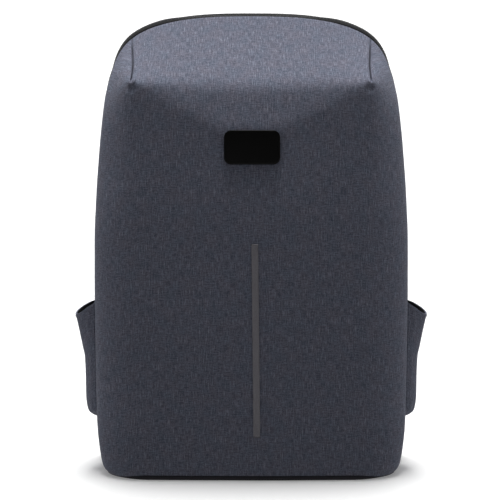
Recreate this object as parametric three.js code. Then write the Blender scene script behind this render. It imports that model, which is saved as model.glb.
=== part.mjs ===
// Laptop backpack, standing zipped shut: a stiffened cloth shell with a sloping, darted top, closed
// behind by a padded back panel and below by a black base, with side pockets and shoulder straps.
// Millimetres, +Z up, the front faces -Y. The origin is on the floor, under the middle of the box.
import * as THREE from "three";

const { clamp, lerp, smoothstep, degToRad } = THREE.MathUtils;

// Driving dimensions
const HEIGHT = 448;
const SEAM_GAP = 0.4; // clearance between pieces that are sewn or fixed together
const SHELL_WALL = 2; // cloth with its foam backing
const SHOULDER_HEIGHT = 400; // where the side outline hands over to the crown's arch

// Half the outline's width at each height, seen from the front
const SILHOUETTE = [
  { height: 0, halfWidth: 142.6 },
  { height: 3, halfWidth: 145.2 },
  { height: 8, halfWidth: 147.3 },
  { height: 16, halfWidth: 148.9 },
  { height: 32, halfWidth: 151 },
  { height: 50, halfWidth: 152.4 },
  { height: 110, halfWidth: 153.8 },
  { height: 177, halfWidth: 154.3 },
  { height: 233, halfWidth: 154 },
  { height: 271, halfWidth: 152.4 },
  { height: 292, halfWidth: 151.2 },
  { height: 331, halfWidth: 148.1 },
  { height: 350, halfWidth: 146.2 },
  { height: 370, halfWidth: 143.8 },
  { height: 383, halfWidth: 141.2 },
  { height: SHOULDER_HEIGHT, halfWidth: 135.6 },
];

// The crown's arch is a superellipse that springs below the shoulders
const CROWN = { halfWidth: 138.1, springHeight: 360, sidePower: 2.8, topPower: 3.66 };

// How far the front stands before the gusset's rear edge, up the middle of the bag
const FRONT_PROFILE = [
  { height: 0, depth: 115 },
  { height: 10, depth: 120 },
  { height: 60, depth: 126 },
  { height: 150, depth: 129 },
  { height: 250, depth: 127.5 },
  { height: 345, depth: 120 },
  { height: 385, depth: 116.5 },
  { height: HEIGHT, depth: 111 },
];
// The front's middle is this much prouder than its sides, less so at the foot
const FRONT_BOW = { foot: 3.5, full: 10, fullFrom: 120 };
// The upright corners between front and sides are quarters of an ellipse
const CORNER = [
  { height: 0, width: 43, depth: 38 },
  { height: 290, width: 50, depth: 44 },
  { height: 370, width: 36, depth: 35 },
  { height: HEIGHT, width: 34, depth: 34 },
];

// The crease between the sloping top and the front is sharp at the dart tips and soft between them
const DART_X = 117;
const CREASE = {
  tipHeight: 390.2,
  middleHeight: 387.5,
  tipSoftness: 1.6,
  middleSoftness: 3.6,
  sideSoftness: 11,
};
// A shallow facet leans back between the dart tips and the plate's top corners
const FACET = { slope: 0.24, footHalfWidth: 27, footHeight: 345, softness: 2.5 };
// Outside the darts the corners lean back towards the shoulders
const SHOULDER = { slope: 0.2, fromHeight: 310, softness: 20, fromX: 114, fullX: 142 };
const DART_GROOVE = 3;
const DART_TIP = { rise: 2, spread: 4.5 };
const DART_DENT = { sink: 2.2, spread: 4, below: 6, outward: 0 };

const GUSSET = { crownDepth: 18, sideDepth: 25, evenFromX: 95, wall: 2, seamLip: 3 };
const BASE = {
  cornerHeight: 1,
  middleHeight: 4.2,
  fullToX: 102,
  thinFromX: 132,
  edgeInset: 0.5,
  underBack: 8,
};
const BACK_PANEL = { edgeThickness: 4, crown: 12, roundness: 4 };

const ZIP = { chainWidth: 6, chainHeight: 1.5, fromHeight: 60 };
const SLIDER = { bodyLength: 10, bodyWidth: 9, pullLength: 24, pullWidth: 6, thickness: 2.4 };

const PLATE = { width: 54, height: 33, radius: 7, body: 2.2, bevel: 0.8, x: 0.8, z: 328, lean: 6 };
const STRIP = { topX: 3.4, topHeight: 235, bottomX: 5.4, bottomHeight: 44.6, width: 6.6, thickness: 0.8 };

// A pocket hangs on the flat of each side and gapes towards its mouth
const POCKET = {
  front: 79,
  back: 30,
  wall: 1.6,
  footRise: 8,
  mouthHeight: 155.5,
  planPower: 2.2,
};
// How the mouth's rim climbs from its middle to its two seams
const POCKET_RIM = { front: { rise: 15, power: 1.35 }, back: { rise: 10.5, power: 0.65 } };
const POCKET_PROFILE = [
  { height: 52.2, standoff: 0 },
  { height: 54.2, standoff: 4.7 },
  { height: 60.5, standoff: 8.7 },
  { height: 72, standoff: 10 },
  { height: 95, standoff: 10 },
  { height: 112, standoff: 10.4 },
  { height: 124, standoff: 12.4 },
  { height: 140, standoff: 15.3 },
  { height: POCKET.mouthHeight, standoff: 18.4 },
];

// The right shoulder strap, from its root down; standoff is the gap to the back panel
const SHOULDER_STRAP = [
  { height: 410, x: 44, standoff: SEAM_GAP, width: 56, thickness: 5 },
  { height: 398, x: 45, standoff: 9, width: 61, thickness: 8 },
  { height: 368, x: 47, standoff: 27, width: 66, thickness: 10 },
  { height: 320, x: 52, standoff: 41, width: 68, thickness: 11 },
  { height: 265, x: 59, standoff: 45, width: 66, thickness: 11 },
  { height: 215, x: 68, standoff: 40, width: 60, thickness: 10 },
  { height: 182, x: 75, standoff: 33, width: 46, thickness: 8 },
  { height: 168, x: 78, standoff: 29, width: 32, thickness: 6 },
];
const STRAP_STEPS = 20;
const STRAP_SIDES = 14;

// The adjuster below each strap and its webbing, which doubles back through the lower slot
const BUCKLE = { width: 36, length: 29, thickness: 5, bar: 5, slot: 7, cornerRadius: 4, belowStrap: 1 };
const WEBBING = { width: 25, thickness: 1.8, tail: 48, anchorX: 113, anchorHeight: 38 };
const HANDLE = { halfSpan: 42, foot: 11, height: 427, band: 22, thickness: 3, bow: 26, steps: 16 };

// Each zone of the shell's mesh ends at a height on the side outline
const SHELL_ROWS = [
  { to: 9, rows: 3 },
  { to: 40, rows: 2 },
  { to: 300, rows: 6 },
  { to: 336, rows: 3 },
  { to: 372, rows: 9 },
  { to: SHOULDER_HEIGHT, rows: 4 },
];
const FRONT_COLUMNS = 8; // from the middle to a dart
const CORNER_COLUMNS = 7; // from a dart to the side
const SIDE_STEPS = 3; // from the corner back to the gusset
const CROWN_RISE_FROM = 250; // above this height the rows begin to bend up to the crown

const CLOTH = { color: 0x3d4049, roughness: 0.95, metalness: 0 };
const BLACK_CLOTH = { color: 0x1d1d1f, roughness: 0.95, metalness: 0 };
const BLACK_PLASTIC = { color: 0x0b0b0c, roughness: 0.25, metalness: 0 };
const MATT_PLASTIC = { color: 0x161617, roughness: 0.55, metalness: 0 };
const REFLECTIVE = { color: 0x4b494b, roughness: 0.6, metalness: 0 };

// Tables and curves

/** Reads one column of a table at a value of another, smoothly and without overshoot. */
function readTable(table, by, column, at) {
  const last = table.length - 1;
  const rows = table[last][by] > table[0][by] ? table : [...table].reverse();
  const x = clamp(at, rows[0][by], rows[last][by]);
  let i = 0;
  while (i < last - 1 && x > rows[i + 1][by]) i += 1;
  const chord = (k) => (rows[k + 1][column] - rows[k][column]) / (rows[k + 1][by] - rows[k][by]);
  const slope = (k) => {
    if (k === 0) return chord(0);
    if (k === last) return chord(last - 1);
    const [a, b] = [chord(k - 1), chord(k)];
    return a * b > 0 ? (2 * a * b) / (a + b) : 0;
  };
  const span = rows[i + 1][by] - rows[i][by];
  const t = (x - rows[i][by]) / span;
  const [p, q] = [rows[i][column], rows[i + 1][column]];
  return (
    p + (q - p) * t * t * (3 - 2 * t) + span * t * (1 - t) * (slope(i) * (1 - t) - slope(i + 1) * t)
  );
}

/** A bend from level to a slope of one, rounded over about five times the softness. */
const softHinge = (distance, softness) => softness * Math.log1p(Math.exp(distance / softness));

/** A round bump of height one. */
const bump = (dx, dz, spread) => Math.exp(-(dx * dx + dz * dz) / (2 * spread * spread));

const halfWidthAt = (height) => readTable(SILHOUETTE, "height", "halfWidth", height);

function crownHeightAt(x) {
  const side = clamp(Math.abs(x) / CROWN.halfWidth, 0, 1) ** CROWN.sidePower;
  return CROWN.springHeight + (HEIGHT - CROWN.springHeight) * (1 - side) ** (1 / CROWN.topPower);
}

const cornerAt = (height) => ({
  width: readTable(CORNER, "height", "width", height),
  depth: readTable(CORNER, "height", "depth", height),
});

const gussetDepthAt = (x) =>
  lerp(GUSSET.crownDepth, GUSSET.sideDepth, smoothstep(Math.abs(x), 0, GUSSET.evenFromX));

function baseHeightAt(x) {
  const share = smoothstep(Math.abs(x), BASE.fullToX, BASE.thinFromX);
  return lerp(BASE.middleHeight, BASE.cornerHeight, share);
}

// The shell's surface

/** The front's depth before the corners are rounded off and the top slopes away. */
function uprightDepth(ax, z) {
  const bow = lerp(FRONT_BOW.foot, FRONT_BOW.full, smoothstep(z, 0, FRONT_BOW.fullFrom));
  return readTable(FRONT_PROFILE, "height", "depth", z) - bow * (ax / CROWN.halfWidth) ** 2;
}

function facetDrop(ax, z) {
  const toTip = clamp((ax - FACET.footHalfWidth) / (DART_X - FACET.footHalfWidth), 0, 1);
  const foot = lerp(FACET.footHeight, CREASE.tipHeight, toTip);
  return FACET.slope * softHinge(z - foot, FACET.softness);
}

function shoulderDrop(ax, z) {
  const lean = SHOULDER.slope * softHinge(z - SHOULDER.fromHeight, SHOULDER.softness);
  return lean * smoothstep(ax, SHOULDER.fromX, SHOULDER.fullX);
}

function topHinge(ax, z) {
  const inward = clamp(1 - ax / DART_X, 0, 1);
  const outward = clamp((ax - DART_X) / (CROWN.halfWidth - DART_X), 0, 1);
  const height = lerp(CREASE.tipHeight, CREASE.middleHeight, smoothstep(inward, 0, 1));
  const inner = lerp(CREASE.tipSoftness, CREASE.middleSoftness, smoothstep(inward, 0, 0.6));
  return softHinge(z - height, lerp(inner, CREASE.sideSoftness, outward));
}

/** The slope that brings the top down to the gusset's lip at the crown. */
function topSlope(ax) {
  const x = Math.min(ax, DART_X);
  const crown = crownHeightAt(x);
  const lip = gussetDepthAt(x) + GUSSET.seamLip;
  return (uprightDepth(x, crown) - facetDrop(x, crown) - lip) / topHinge(x, crown);
}

/** How far the cloth stands before the gusset's rear edge; sideWidth is half the outline there. */
function frontDepth(x, z, sideWidth) {
  const ax = Math.abs(x);
  const lip = gussetDepthAt(x) + GUSSET.seamLip;
  const { outward, below } = DART_DENT;
  const tip = DART_TIP.rise * bump(ax - DART_X, z - CREASE.tipHeight, DART_TIP.spread);
  const dent =
    DART_DENT.sink * bump(ax - DART_X - outward, z - CREASE.tipHeight + below, DART_DENT.spread);
  const upright = uprightDepth(ax, z) - facetDrop(ax, z) - shoulderDrop(ax, z);
  const depth = Math.max(upright - topSlope(ax) * topHinge(ax, z) + tip - dent, lip);
  const corner = cornerAt(z);
  const rounding = Math.min(corner.depth, 0.6 * (depth - lip));
  const nearSide = clamp(1 - (sideWidth - ax) / corner.width, 0, 1);
  return depth - rounding * (1 - Math.sqrt(1 - nearSide * nearSide));
}

/** Half the bag's width where an upright corner has a given depth. */
function sideAt(depth, z) {
  const width = halfWidthAt(z);
  const corner = cornerAt(z);
  const ahead = clamp(1 - (uprightDepth(width, z) - depth) / corner.depth, 0, 1);
  return width - corner.width * (1 - Math.sqrt(1 - ahead * ahead));
}

/** Signed places of the mesh's columns: up to 1 at a dart, then on to 2 at the side. */
function shellColumns() {
  const half = [];
  for (let i = 1; i <= FRONT_COLUMNS; i += 1) half.push(i / FRONT_COLUMNS);
  for (let i = 1; i <= CORNER_COLUMNS; i += 1) {
    half.push(1 + Math.sin((i / CORNER_COLUMNS) * (Math.PI / 2)));
  }
  return [...half.map((c) => -c).reverse(), 0, ...half];
}

/** Heights of the mesh's rows on the side outline. */
function shellRows() {
  const heights = [0];
  for (const { to, rows } of SHELL_ROWS) {
    const from = heights[heights.length - 1];
    for (let i = 1; i <= rows; i += 1) heights.push(lerp(from, to, i / rows));
  }
  return heights;
}

/** The outline's inside as a net: where a column meets a row, seen from the front. */
function netPoint(column, sideHeight) {
  const place = (sideWidth) => {
    const c = Math.abs(column);
    return Math.sign(column) * (c <= 1 ? c * DART_X : lerp(DART_X, sideWidth, c - 1));
  };
  const sideWidth = halfWidthAt(sideHeight);
  const x = place(sideWidth);
  const rise = crownHeightAt(place(halfWidthAt(SHOULDER_HEIGHT))) - SHOULDER_HEIGHT;
  const lift = (baseHeightAt(x) + SEAM_GAP) * (1 - smoothstep(sideHeight, 0, 20));
  const z = sideHeight + lift + rise * smoothstep(sideHeight, CROWN_RISE_FROM, SHOULDER_HEIGHT);
  return { x, z, sideWidth };
}

/** The dart's fold, deepest half way between the crown and its tip. */
function dartGroove(column, z) {
  if (Math.abs(column) !== 1 || z < CREASE.tipHeight) return 0;
  const along = (z - CREASE.tipHeight) / (crownHeightAt(DART_X) - CREASE.tipHeight);
  return DART_GROOVE * Math.sin(Math.PI * clamp(along, 0, 1)) ** 0.6;
}

function shellPoint(column, sideHeight) {
  const { x, z, sideWidth } = netPoint(column, sideHeight);
  return new THREE.Vector3(x, dartGroove(column, z) - frontDepth(x, z, sideWidth), z);
}

/** The rear outline from the left foot over the crown to the right foot. */
function outlineLoop(rows, columns) {
  const side = columns[columns.length - 1];
  const left = rows.map((h) => netPoint(-side, h));
  const crown = columns.slice(1, -1).map((c) => netPoint(c, SHOULDER_HEIGHT));
  const right = rows.map((h) => netPoint(side, h)).reverse();
  return [...left, ...crown, ...right];
}

// Solids

/** Triangles over a net of indices; their diagonals mirror about its middle column. */
function gridFaces(index) {
  const faces = [];
  for (let r = 0; r + 1 < index.length; r += 1) {
    const middle = (index[r].length - 1) / 2;
    for (let c = 0; c + 1 < index[r].length; c += 1) {
      const [a, b] = [index[r][c], index[r][c + 1]];
      const [d, e] = [index[r + 1][c], index[r + 1][c + 1]];
      if (c < middle) faces.push([a, b, d], [b, e, d]);
      else faces.push([a, b, e], [a, e, d]);
    }
  }
  return faces;
}

function geometryOf(points, faces) {
  const geometry = new THREE.BufferGeometry().setFromPoints(points);
  geometry.setIndex(faces.flat());
  geometry.computeVertexNormals();
  return geometry;
}

/** Joins an outer and an inner surface of the same net into one closed wall. */
function closedWall(outer, inner, faces) {
  const n = outer.length;
  const used = new Set(faces.flatMap(([a, b, c]) => [`${a},${b}`, `${b},${c}`, `${c},${a}`]));
  const wall = faces.flatMap(([a, b, c]) => [
    [a, b, c],
    [n + a, n + c, n + b],
  ]);
  for (const edge of used) {
    const [a, b] = edge.split(",").map(Number);
    if (!used.has(`${b},${a}`)) wall.push([b, a, n + a], [b, n + a, n + b]);
  }
  return geometryOf([...outer, ...inner], wall);
}

/** A sheet given a thickness on its inner side. */
function thickened(points, faces, thickness) {
  const normals = geometryOf(points, faces).getAttribute("normal");
  const inner = points.map((p, i) =>
    p.clone().addScaledVector(new THREE.Vector3().fromBufferAttribute(normals, i), -thickness),
  );
  return closedWall(points, inner, faces);
}

/** A rectangular net of points, with its faces. */
function sheet(rows, columns, pointAt) {
  const points = [];
  const index = rows.map((row) =>
    columns.map((column) => points.push(pointAt(column, row)) - 1),
  );
  return { points, index, faces: gridFaces(index) };
}

/** A solid skinned over closed rings of points, capped at both ends. */
function lofted(rings) {
  const sides = rings[0].length;
  const middle = (ring) => ring.reduce((sum, p) => sum.add(p), new THREE.Vector3()).divideScalar(sides);
  const points = [...rings.flat(), middle(rings[0]), middle(rings[rings.length - 1])];
  const index = rings.map((_, r) => [...Array(sides + 1).keys()].map((s) => r * sides + (s % sides)));
  const [start, end] = [points.length - 2, points.length - 1];
  const top = (rings.length - 1) * sides;
  const faces = gridFaces(index);
  for (let s = 0; s < sides; s += 1) {
    const next = (s + 1) % sides;
    faces.push([start, next, s], [end, top + s, top + next]);
  }
  return geometryOf(points, faces);
}

const steps = (count) => [...Array(count + 1).keys()].map((i) => i / count);

function mesh(name, geometry, finish) {
  const made = new THREE.Mesh(geometry, new THREE.MeshStandardMaterial(finish));
  made.name = name;
  return made;
}

function roundedRect(width, height, radius, middle = 0) {
  const shape = new THREE.Shape();
  const [w, h] = [width / 2 - radius, height / 2 - radius];
  shape.absarc(w, middle - h, radius, -Math.PI / 2, 0);
  shape.absarc(w, middle + h, radius, 0, Math.PI / 2);
  shape.absarc(-w, middle + h, radius, Math.PI / 2, Math.PI);
  shape.absarc(-w, middle - h, radius, Math.PI, 1.5 * Math.PI);
  shape.closePath();
  return shape;
}

// Pieces of the body

function mainShell() {
  const { points, index, faces } = sheet(shellRows(), shellColumns(), shellPoint);
  const left = index.map((row) => row[0]);
  const right = index.map((row) => row[row.length - 1]).reverse();
  const edge = [...left, ...index[index.length - 1].slice(1, -1), ...right];
  const side = [edge];
  for (let k = 1; k <= SIDE_STEPS; k += 1) {
    side.push(
      edge.map((i) => {
        const { x, y, z } = points[i];
        return points.push(new THREE.Vector3(x, lerp(y, -gussetDepthAt(x), k / SIDE_STEPS), z)) - 1;
      }),
    );
  }
  faces.push(...gridFaces(side));
  return mesh("main_shell", thickened(points, faces, SHELL_WALL), CLOTH);
}

/** A band that lies on the rear outline, lifted off it, between two depths behind the shell. */
function outlineBand(loop, lift, thickness, frontAt, backAt) {
  const flat = loop.map(({ x, z }) => new THREE.Vector2(x, z));
  const outward = flat.map((_, i) => {
    const along = flat[Math.min(i + 1, flat.length - 1)].clone().sub(flat[Math.max(i - 1, 0)]);
    return new THREE.Vector2(-along.y, along.x).normalize();
  });
  const { points, faces } = sheet([0, 1], [...flat.keys()], (i, back) => {
    const at = flat[i].clone().addScaledVector(outward[i], lift);
    return new THREE.Vector3(at.x, back ? backAt(flat[i].x) : frontAt(flat[i].x), at.y);
  });
  return thickened(points, faces, thickness);
}

function zipGusset(loop) {
  const front = (x) => SEAM_GAP - gussetDepthAt(x);
  return mesh("zip_gusset", outlineBand(loop, 0, GUSSET.wall, front, () => -SEAM_GAP), BLACK_CLOTH);
}

/** The part of the rear outline that the zip follows, from foot to foot. */
const zipRun = (loop) => loop.filter(({ z }) => z >= ZIP.fromHeight);

function zipChain(loop) {
  const middle = (x) => -gussetDepthAt(x) / 2;
  const band = outlineBand(
    zipRun(loop),
    SEAM_GAP + ZIP.chainHeight,
    ZIP.chainHeight,
    (x) => middle(x) - ZIP.chainWidth / 2,
    (x) => middle(x) + ZIP.chainWidth / 2,
  );
  return mesh("zip_chain", band, MATT_PLASTIC);
}

/** The slider sits where the chain ends on the right, with its pull hanging. */
function zipSlider(loop) {
  const { bodyLength, bodyWidth, pullLength, pullWidth, thickness } = SLIDER;
  const tip = pullWidth / 2;
  const shape = new THREE.Shape();
  shape.moveTo(-bodyWidth / 2, bodyLength);
  shape.lineTo(-bodyWidth / 2, 0);
  shape.lineTo(-tip, 0);
  shape.lineTo(-tip, tip - pullLength);
  shape.absarc(0, tip - pullLength, tip, Math.PI, 2 * Math.PI);
  shape.lineTo(tip, 0);
  shape.lineTo(bodyWidth / 2, 0);
  shape.lineTo(bodyWidth / 2, bodyLength);
  const geometry = new THREE.ExtrudeGeometry(shape, {
    depth: thickness,
    bevelEnabled: false,
    curveSegments: 6,
  });
  const slider = mesh("zip_slider", geometry, MATT_PLASTIC);
  const chainEnd = zipRun(loop).pop();
  slider.rotation.set(Math.PI / 2, Math.PI / 2, 0);
  slider.position.set(chainEnd.x + SEAM_GAP, -GUSSET.sideDepth / 2, chainEnd.z - bodyLength - SEAM_GAP);
  return slider;
}

function basePanel() {
  const columns = shellColumns();
  const front = (c) => {
    const { x, z, sideWidth } = netPoint(c, 0);
    return { x, y: BASE.edgeInset - frontDepth(x, z, sideWidth) };
  };
  const rim = sheet([0, 1], columns, (c, back) => {
    const { x, y } = front(c);
    return new THREE.Vector3(x, back ? BASE.underBack : y, baseHeightAt(x));
  });
  const sole = rim.points.map(({ x, y }) => new THREE.Vector3(x, y, 0));
  return mesh("base_panel", closedWall(rim.points, sole, rim.faces), BLACK_CLOTH);
}

/** How far the back panel is moulded out behind its edge. */
function backCrown(column, sideHeight) {
  const across = (Math.abs(column) / 2) ** BACK_PANEL.roundness;
  const up = Math.abs((2 * sideHeight) / SHOULDER_HEIGHT - 1) ** BACK_PANEL.roundness;
  return BACK_PANEL.crown * Math.sqrt((1 - across) * (1 - up));
}

/** The back panel's rear face. */
const backFace = (column, sideHeight) => BACK_PANEL.edgeThickness + backCrown(column, sideHeight);

/** The rear face's place behind a point of the back. */
function backFaceAt(x, z) {
  const ax = Math.abs(x);
  const column = ax <= DART_X ? ax / DART_X : 1 + (ax - DART_X) / (halfWidthAt(z) - DART_X);
  let sideHeight = Math.min(z, SHOULDER_HEIGHT);
  for (let i = 0; i < 20; i += 1) {
    sideHeight = clamp(sideHeight + z - netPoint(column, sideHeight).z, 0, SHOULDER_HEIGHT);
  }
  return backFace(column, sideHeight);
}

function backPanel() {
  const everySecond = (list) => list.filter((_, i) => i % 2 === 0 || i === list.length - 1);
  const columns = everySecond(shellColumns());
  const rows = everySecond(shellRows());
  const net = (face) =>
    sheet([...rows].reverse(), columns, (c, h) => {
      const { x, z } = netPoint(c, h);
      return new THREE.Vector3(x, face(c, h), z);
    });
  const rear = net(backFace);
  const front = net((c, h) => SEAM_GAP + backCrown(c, h));
  return mesh("back_panel", closedWall(rear.points, front.points, rear.faces), BLACK_CLOTH);
}

function frontPlate() {
  const { width, height, radius, body, bevel, x, z } = PLATE;
  const lean = degToRad(PLATE.lean);
  const outline = roundedRect(width - 2 * bevel, height - 2 * bevel, radius - bevel);
  const geometry = new THREE.ExtrudeGeometry(outline, {
    depth: body,
    bevelThickness: bevel,
    bevelSize: bevel,
    bevelSegments: 2,
    curveSegments: 6,
  });
  const plate = mesh("front_plate", geometry, BLACK_PLASTIC);
  // The plate's back rests on the proudest cloth under it.
  let seat = 0;
  for (const across of [-0.5, 0, 0.5]) {
    for (const up of [-0.5, 0, 0.5]) {
      const [px, pz] = [x + across * width, z + up * height];
      seat = Math.max(seat, frontDepth(px, pz, halfWidthAt(pz)) + (pz - z) * Math.tan(lean));
    }
  }
  plate.rotation.x = Math.PI / 2 - lean;
  plate.position.set(x, -(seat + SEAM_GAP) - bevel, z);
  return plate;
}

function reflectiveStrip() {
  const proud = SEAM_GAP + STRIP.thickness;
  const { points, faces } = sheet(steps(16), [-0.5, 0.5], (across, up) => {
    const x = lerp(STRIP.bottomX, STRIP.topX, up) + across * STRIP.width;
    const z = lerp(STRIP.bottomHeight, STRIP.topHeight, up);
    return new THREE.Vector3(x, -frontDepth(x, z, halfWidthAt(z)) - proud, z);
  });
  return mesh("reflective_strip", thickened(points, faces, STRIP.thickness), REFLECTIVE);
}

// Pieces that come in pairs, made for the right and mirrored for the left

function sidePocket(side) {
  const lowest = POCKET_PROFILE[0].height;
  const plan = (t) => 1 - Math.abs(2 * t - 1) ** POCKET.planPower;
  const { points, faces } = sheet(POCKET_PROFILE, steps(12), (t, row) => {
    const foot = lowest + POCKET.footRise * (1 - plan(t));
    const rim = t < 0.5 ? POCKET_RIM.front : POCKET_RIM.back;
    const mouth = POCKET.mouthHeight + rim.rise * (1 - plan(t)) ** rim.power;
    const z = lerp(foot, mouth, (row.height - lowest) / (POCKET.mouthHeight - lowest));
    const depth = lerp(POCKET.front, POCKET.back, t);
    const x = sideAt(depth, z) + SEAM_GAP + POCKET.wall + row.standoff * plan(t);
    return new THREE.Vector3(x, -depth, z);
  });
  return mesh(`side_pocket_${side}`, thickened(points, faces, POCKET.wall), CLOTH);
}

/** The middle line, width and thickness of the right strap at a share of its height. */
function strapSection(share) {
  const [first, last] = [SHOULDER_STRAP[0], SHOULDER_STRAP[SHOULDER_STRAP.length - 1]];
  const z = lerp(first.height, last.height, share);
  const [x, standoff, width, thickness] = ["x", "standoff", "width", "thickness"].map((column) =>
    readTable(SHOULDER_STRAP, "height", column, z),
  );
  const middle = new THREE.Vector3(x, backFaceAt(x, z) + standoff + thickness / 2, z);
  return { middle, width, thickness };
}

/** Axes along, across and out of the right strap at a share of its height. */
function strapAxes(share) {
  const reach = 0.5 / STRAP_STEPS;
  const along = strapSection(Math.min(1, share + reach)).middle;
  along.sub(strapSection(Math.max(0, share - reach)).middle).normalize();
  const across = new THREE.Vector3().crossVectors(along, new THREE.Vector3(0, 1, 0)).normalize();
  const out = new THREE.Vector3().crossVectors(across, along);
  return { along, across, out };
}

function shoulderStrap(side) {
  const rings = steps(STRAP_STEPS).map((share) => {
    const { middle, width, thickness } = strapSection(share);
    const { across, out } = strapAxes(share);
    return [...Array(STRAP_SIDES).keys()].map((i) => {
      const angle = (-2 * Math.PI * (i + 0.5)) / STRAP_SIDES;
      const soften = (v) => Math.sign(v) * Math.abs(v) ** 0.55;
      return middle
        .clone()
        .addScaledVector(across, (soften(Math.cos(angle)) * width) / 2)
        .addScaledVector(out, (soften(Math.sin(angle)) * thickness) / 2);
    });
  });
  return mesh(`shoulder_strap_${side}`, lofted(rings), BLACK_CLOTH);
}

/** The webbing's outer radius as it turns round the adjuster's lower bar. */
const webbingTurn = BUCKLE.thickness / 2 + SEAM_GAP + WEBBING.thickness;

/** The adjuster's own frame: x across, y up towards the strap, z out of the back. */
function adjusterFrame() {
  const { middle } = strapSection(1);
  const { anchorX, anchorHeight, width } = WEBBING;
  const under = [-0.5, 0, 0.5].map((share) => backFaceAt(anchorX + share * width, anchorHeight));
  const anchor = new THREE.Vector3(anchorX, Math.max(...under) + SEAM_GAP + webbingTurn, anchorHeight);
  const up = middle.clone().sub(anchor).normalize();
  const across = new THREE.Vector3().crossVectors(up, new THREE.Vector3(0, 1, 0)).normalize();
  const out = new THREE.Vector3().crossVectors(across, up);
  const centre = middle.clone().addScaledVector(up, -BUCKLE.length / 2 - BUCKLE.belowStrap);
  const basis = new THREE.Matrix4().makeBasis(across, up, out);
  return { centre, reach: centre.distanceTo(anchor), basis };
}

function strapBuckle(side) {
  const { width, length, thickness, bar, slot, cornerRadius } = BUCKLE;
  const outline = roundedRect(width, length, cornerRadius);
  for (const at of [-1, 1]) {
    outline.holes.push(roundedRect(width - 2 * bar, slot, 1, (at * (bar + slot)) / 2));
  }
  const geometry = new THREE.ExtrudeGeometry(outline, {
    depth: thickness,
    bevelEnabled: false,
    curveSegments: 4,
  });
  geometry.translate(0, 0, -thickness / 2);
  return mesh(`strap_buckle_${side}`, geometry, MATT_PLASTIC);
}

/** Webbing comes up behind the lower bar, goes through its slot and hangs down again as a tail. */
function strapWebbing(side, reach) {
  const turnHeight = -BUCKLE.bar / 2 - webbingTurn - SEAM_GAP;
  const turn = steps(6).map((share) => ({
    out: -webbingTurn * Math.cos(Math.PI * share),
    up: turnHeight + webbingTurn * Math.sin(Math.PI * share),
  }));
  const path = [
    { out: -webbingTurn, up: -reach },
    ...turn,
    { out: webbingTurn, up: turnHeight - WEBBING.tail },
  ];
  const { points, faces } = sheet(path, [0.5, -0.5], (across, { out, up }) => {
    return new THREE.Vector3(across * WEBBING.width, up, out);
  });
  return mesh(`strap_webbing_${side}`, thickened(points, faces, WEBBING.thickness), BLACK_CLOTH);
}

/** A pair's group: as made on the right, and mirrored on the left. */
function pairedPieces(side) {
  const pieces = new THREE.Group();
  const adjuster = new THREE.Group();
  const { centre, reach, basis } = adjusterFrame();
  adjuster.setRotationFromMatrix(basis);
  adjuster.position.copy(centre);
  adjuster.add(strapBuckle(side), strapWebbing(side, reach));
  pieces.add(sidePocket(side), shoulderStrap(side), adjuster);
  pieces.scale.x = side === "left" ? -1 : 1;
  return pieces;
}

function grabHandle() {
  const { halfSpan, foot, height, band, thickness, bow } = HANDLE;
  const across = steps(HANDLE.steps).map((share) => lerp(-halfSpan, halfSpan, share));
  const columns = [-halfSpan - foot, ...across, halfSpan + foot];
  const { points, faces } = sheet([1, 0], columns, (x, up) => {
    const z = height + (up - 0.5) * band;
    const out = bow * Math.sqrt(Math.max(0, 1 - Math.abs(x / halfSpan) ** 3));
    return new THREE.Vector3(x, backFaceAt(x, height - band / 2) + SEAM_GAP + thickness + out, z);
  });
  return mesh("grab_handle", thickened(points, faces, thickness), BLACK_CLOTH);
}

const loop = outlineLoop(shellRows(), shellColumns());
const backpack = new THREE.Group();
backpack.add(mainShell(), zipGusset(loop), zipChain(loop), zipSlider(loop), basePanel(), backPanel());
backpack.add(frontPlate(), reflectiveStrip(), grabHandle());
backpack.add(pairedPieces("left"), pairedPieces("right"));

// The pieces are drawn from the gusset's rear edge; the origin is under the middle of the box.
backpack.position.y = -new THREE.Box3().setFromObject(backpack).getCenter(new THREE.Vector3()).y;
const part = new THREE.Group();
part.add(backpack);

export default part;
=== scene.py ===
"""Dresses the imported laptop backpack: melange cloth shell, black zip gusset, padded back and straps.

Sizes are millimetres in the bag's own drawing frame, whose y is 0 at the gusset's rear edge and
negative towards the front. BagForm.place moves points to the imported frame, in metres.
"""

from __future__ import annotations

import logging
import math
from dataclasses import dataclass
from enum import Enum
from typing import Any, ClassVar, NamedTuple, Sequence

import bmesh
import bpy
import numpy as np
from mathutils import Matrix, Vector
from mathutils.bvhtree import BVHTree

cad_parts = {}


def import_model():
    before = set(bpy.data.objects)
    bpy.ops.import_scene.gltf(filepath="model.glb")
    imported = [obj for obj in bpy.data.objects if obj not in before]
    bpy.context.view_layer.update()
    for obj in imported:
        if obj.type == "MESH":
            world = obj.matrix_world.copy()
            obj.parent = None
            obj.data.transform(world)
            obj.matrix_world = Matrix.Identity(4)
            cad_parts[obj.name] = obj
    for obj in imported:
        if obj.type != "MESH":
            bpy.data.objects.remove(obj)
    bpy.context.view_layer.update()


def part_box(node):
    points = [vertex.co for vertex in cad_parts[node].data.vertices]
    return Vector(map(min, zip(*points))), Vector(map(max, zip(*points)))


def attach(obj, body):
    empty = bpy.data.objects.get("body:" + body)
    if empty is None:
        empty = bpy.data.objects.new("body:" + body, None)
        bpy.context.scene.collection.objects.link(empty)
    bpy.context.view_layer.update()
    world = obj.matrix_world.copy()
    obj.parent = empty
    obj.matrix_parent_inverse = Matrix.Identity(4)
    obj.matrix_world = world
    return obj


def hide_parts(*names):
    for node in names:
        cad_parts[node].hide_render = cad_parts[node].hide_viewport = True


LOG = logging.getLogger("backpack")
MM = 0.001
SEAM_GAP = 0.4
BODY = "root"
WEAVE_UV = "weave"
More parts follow.
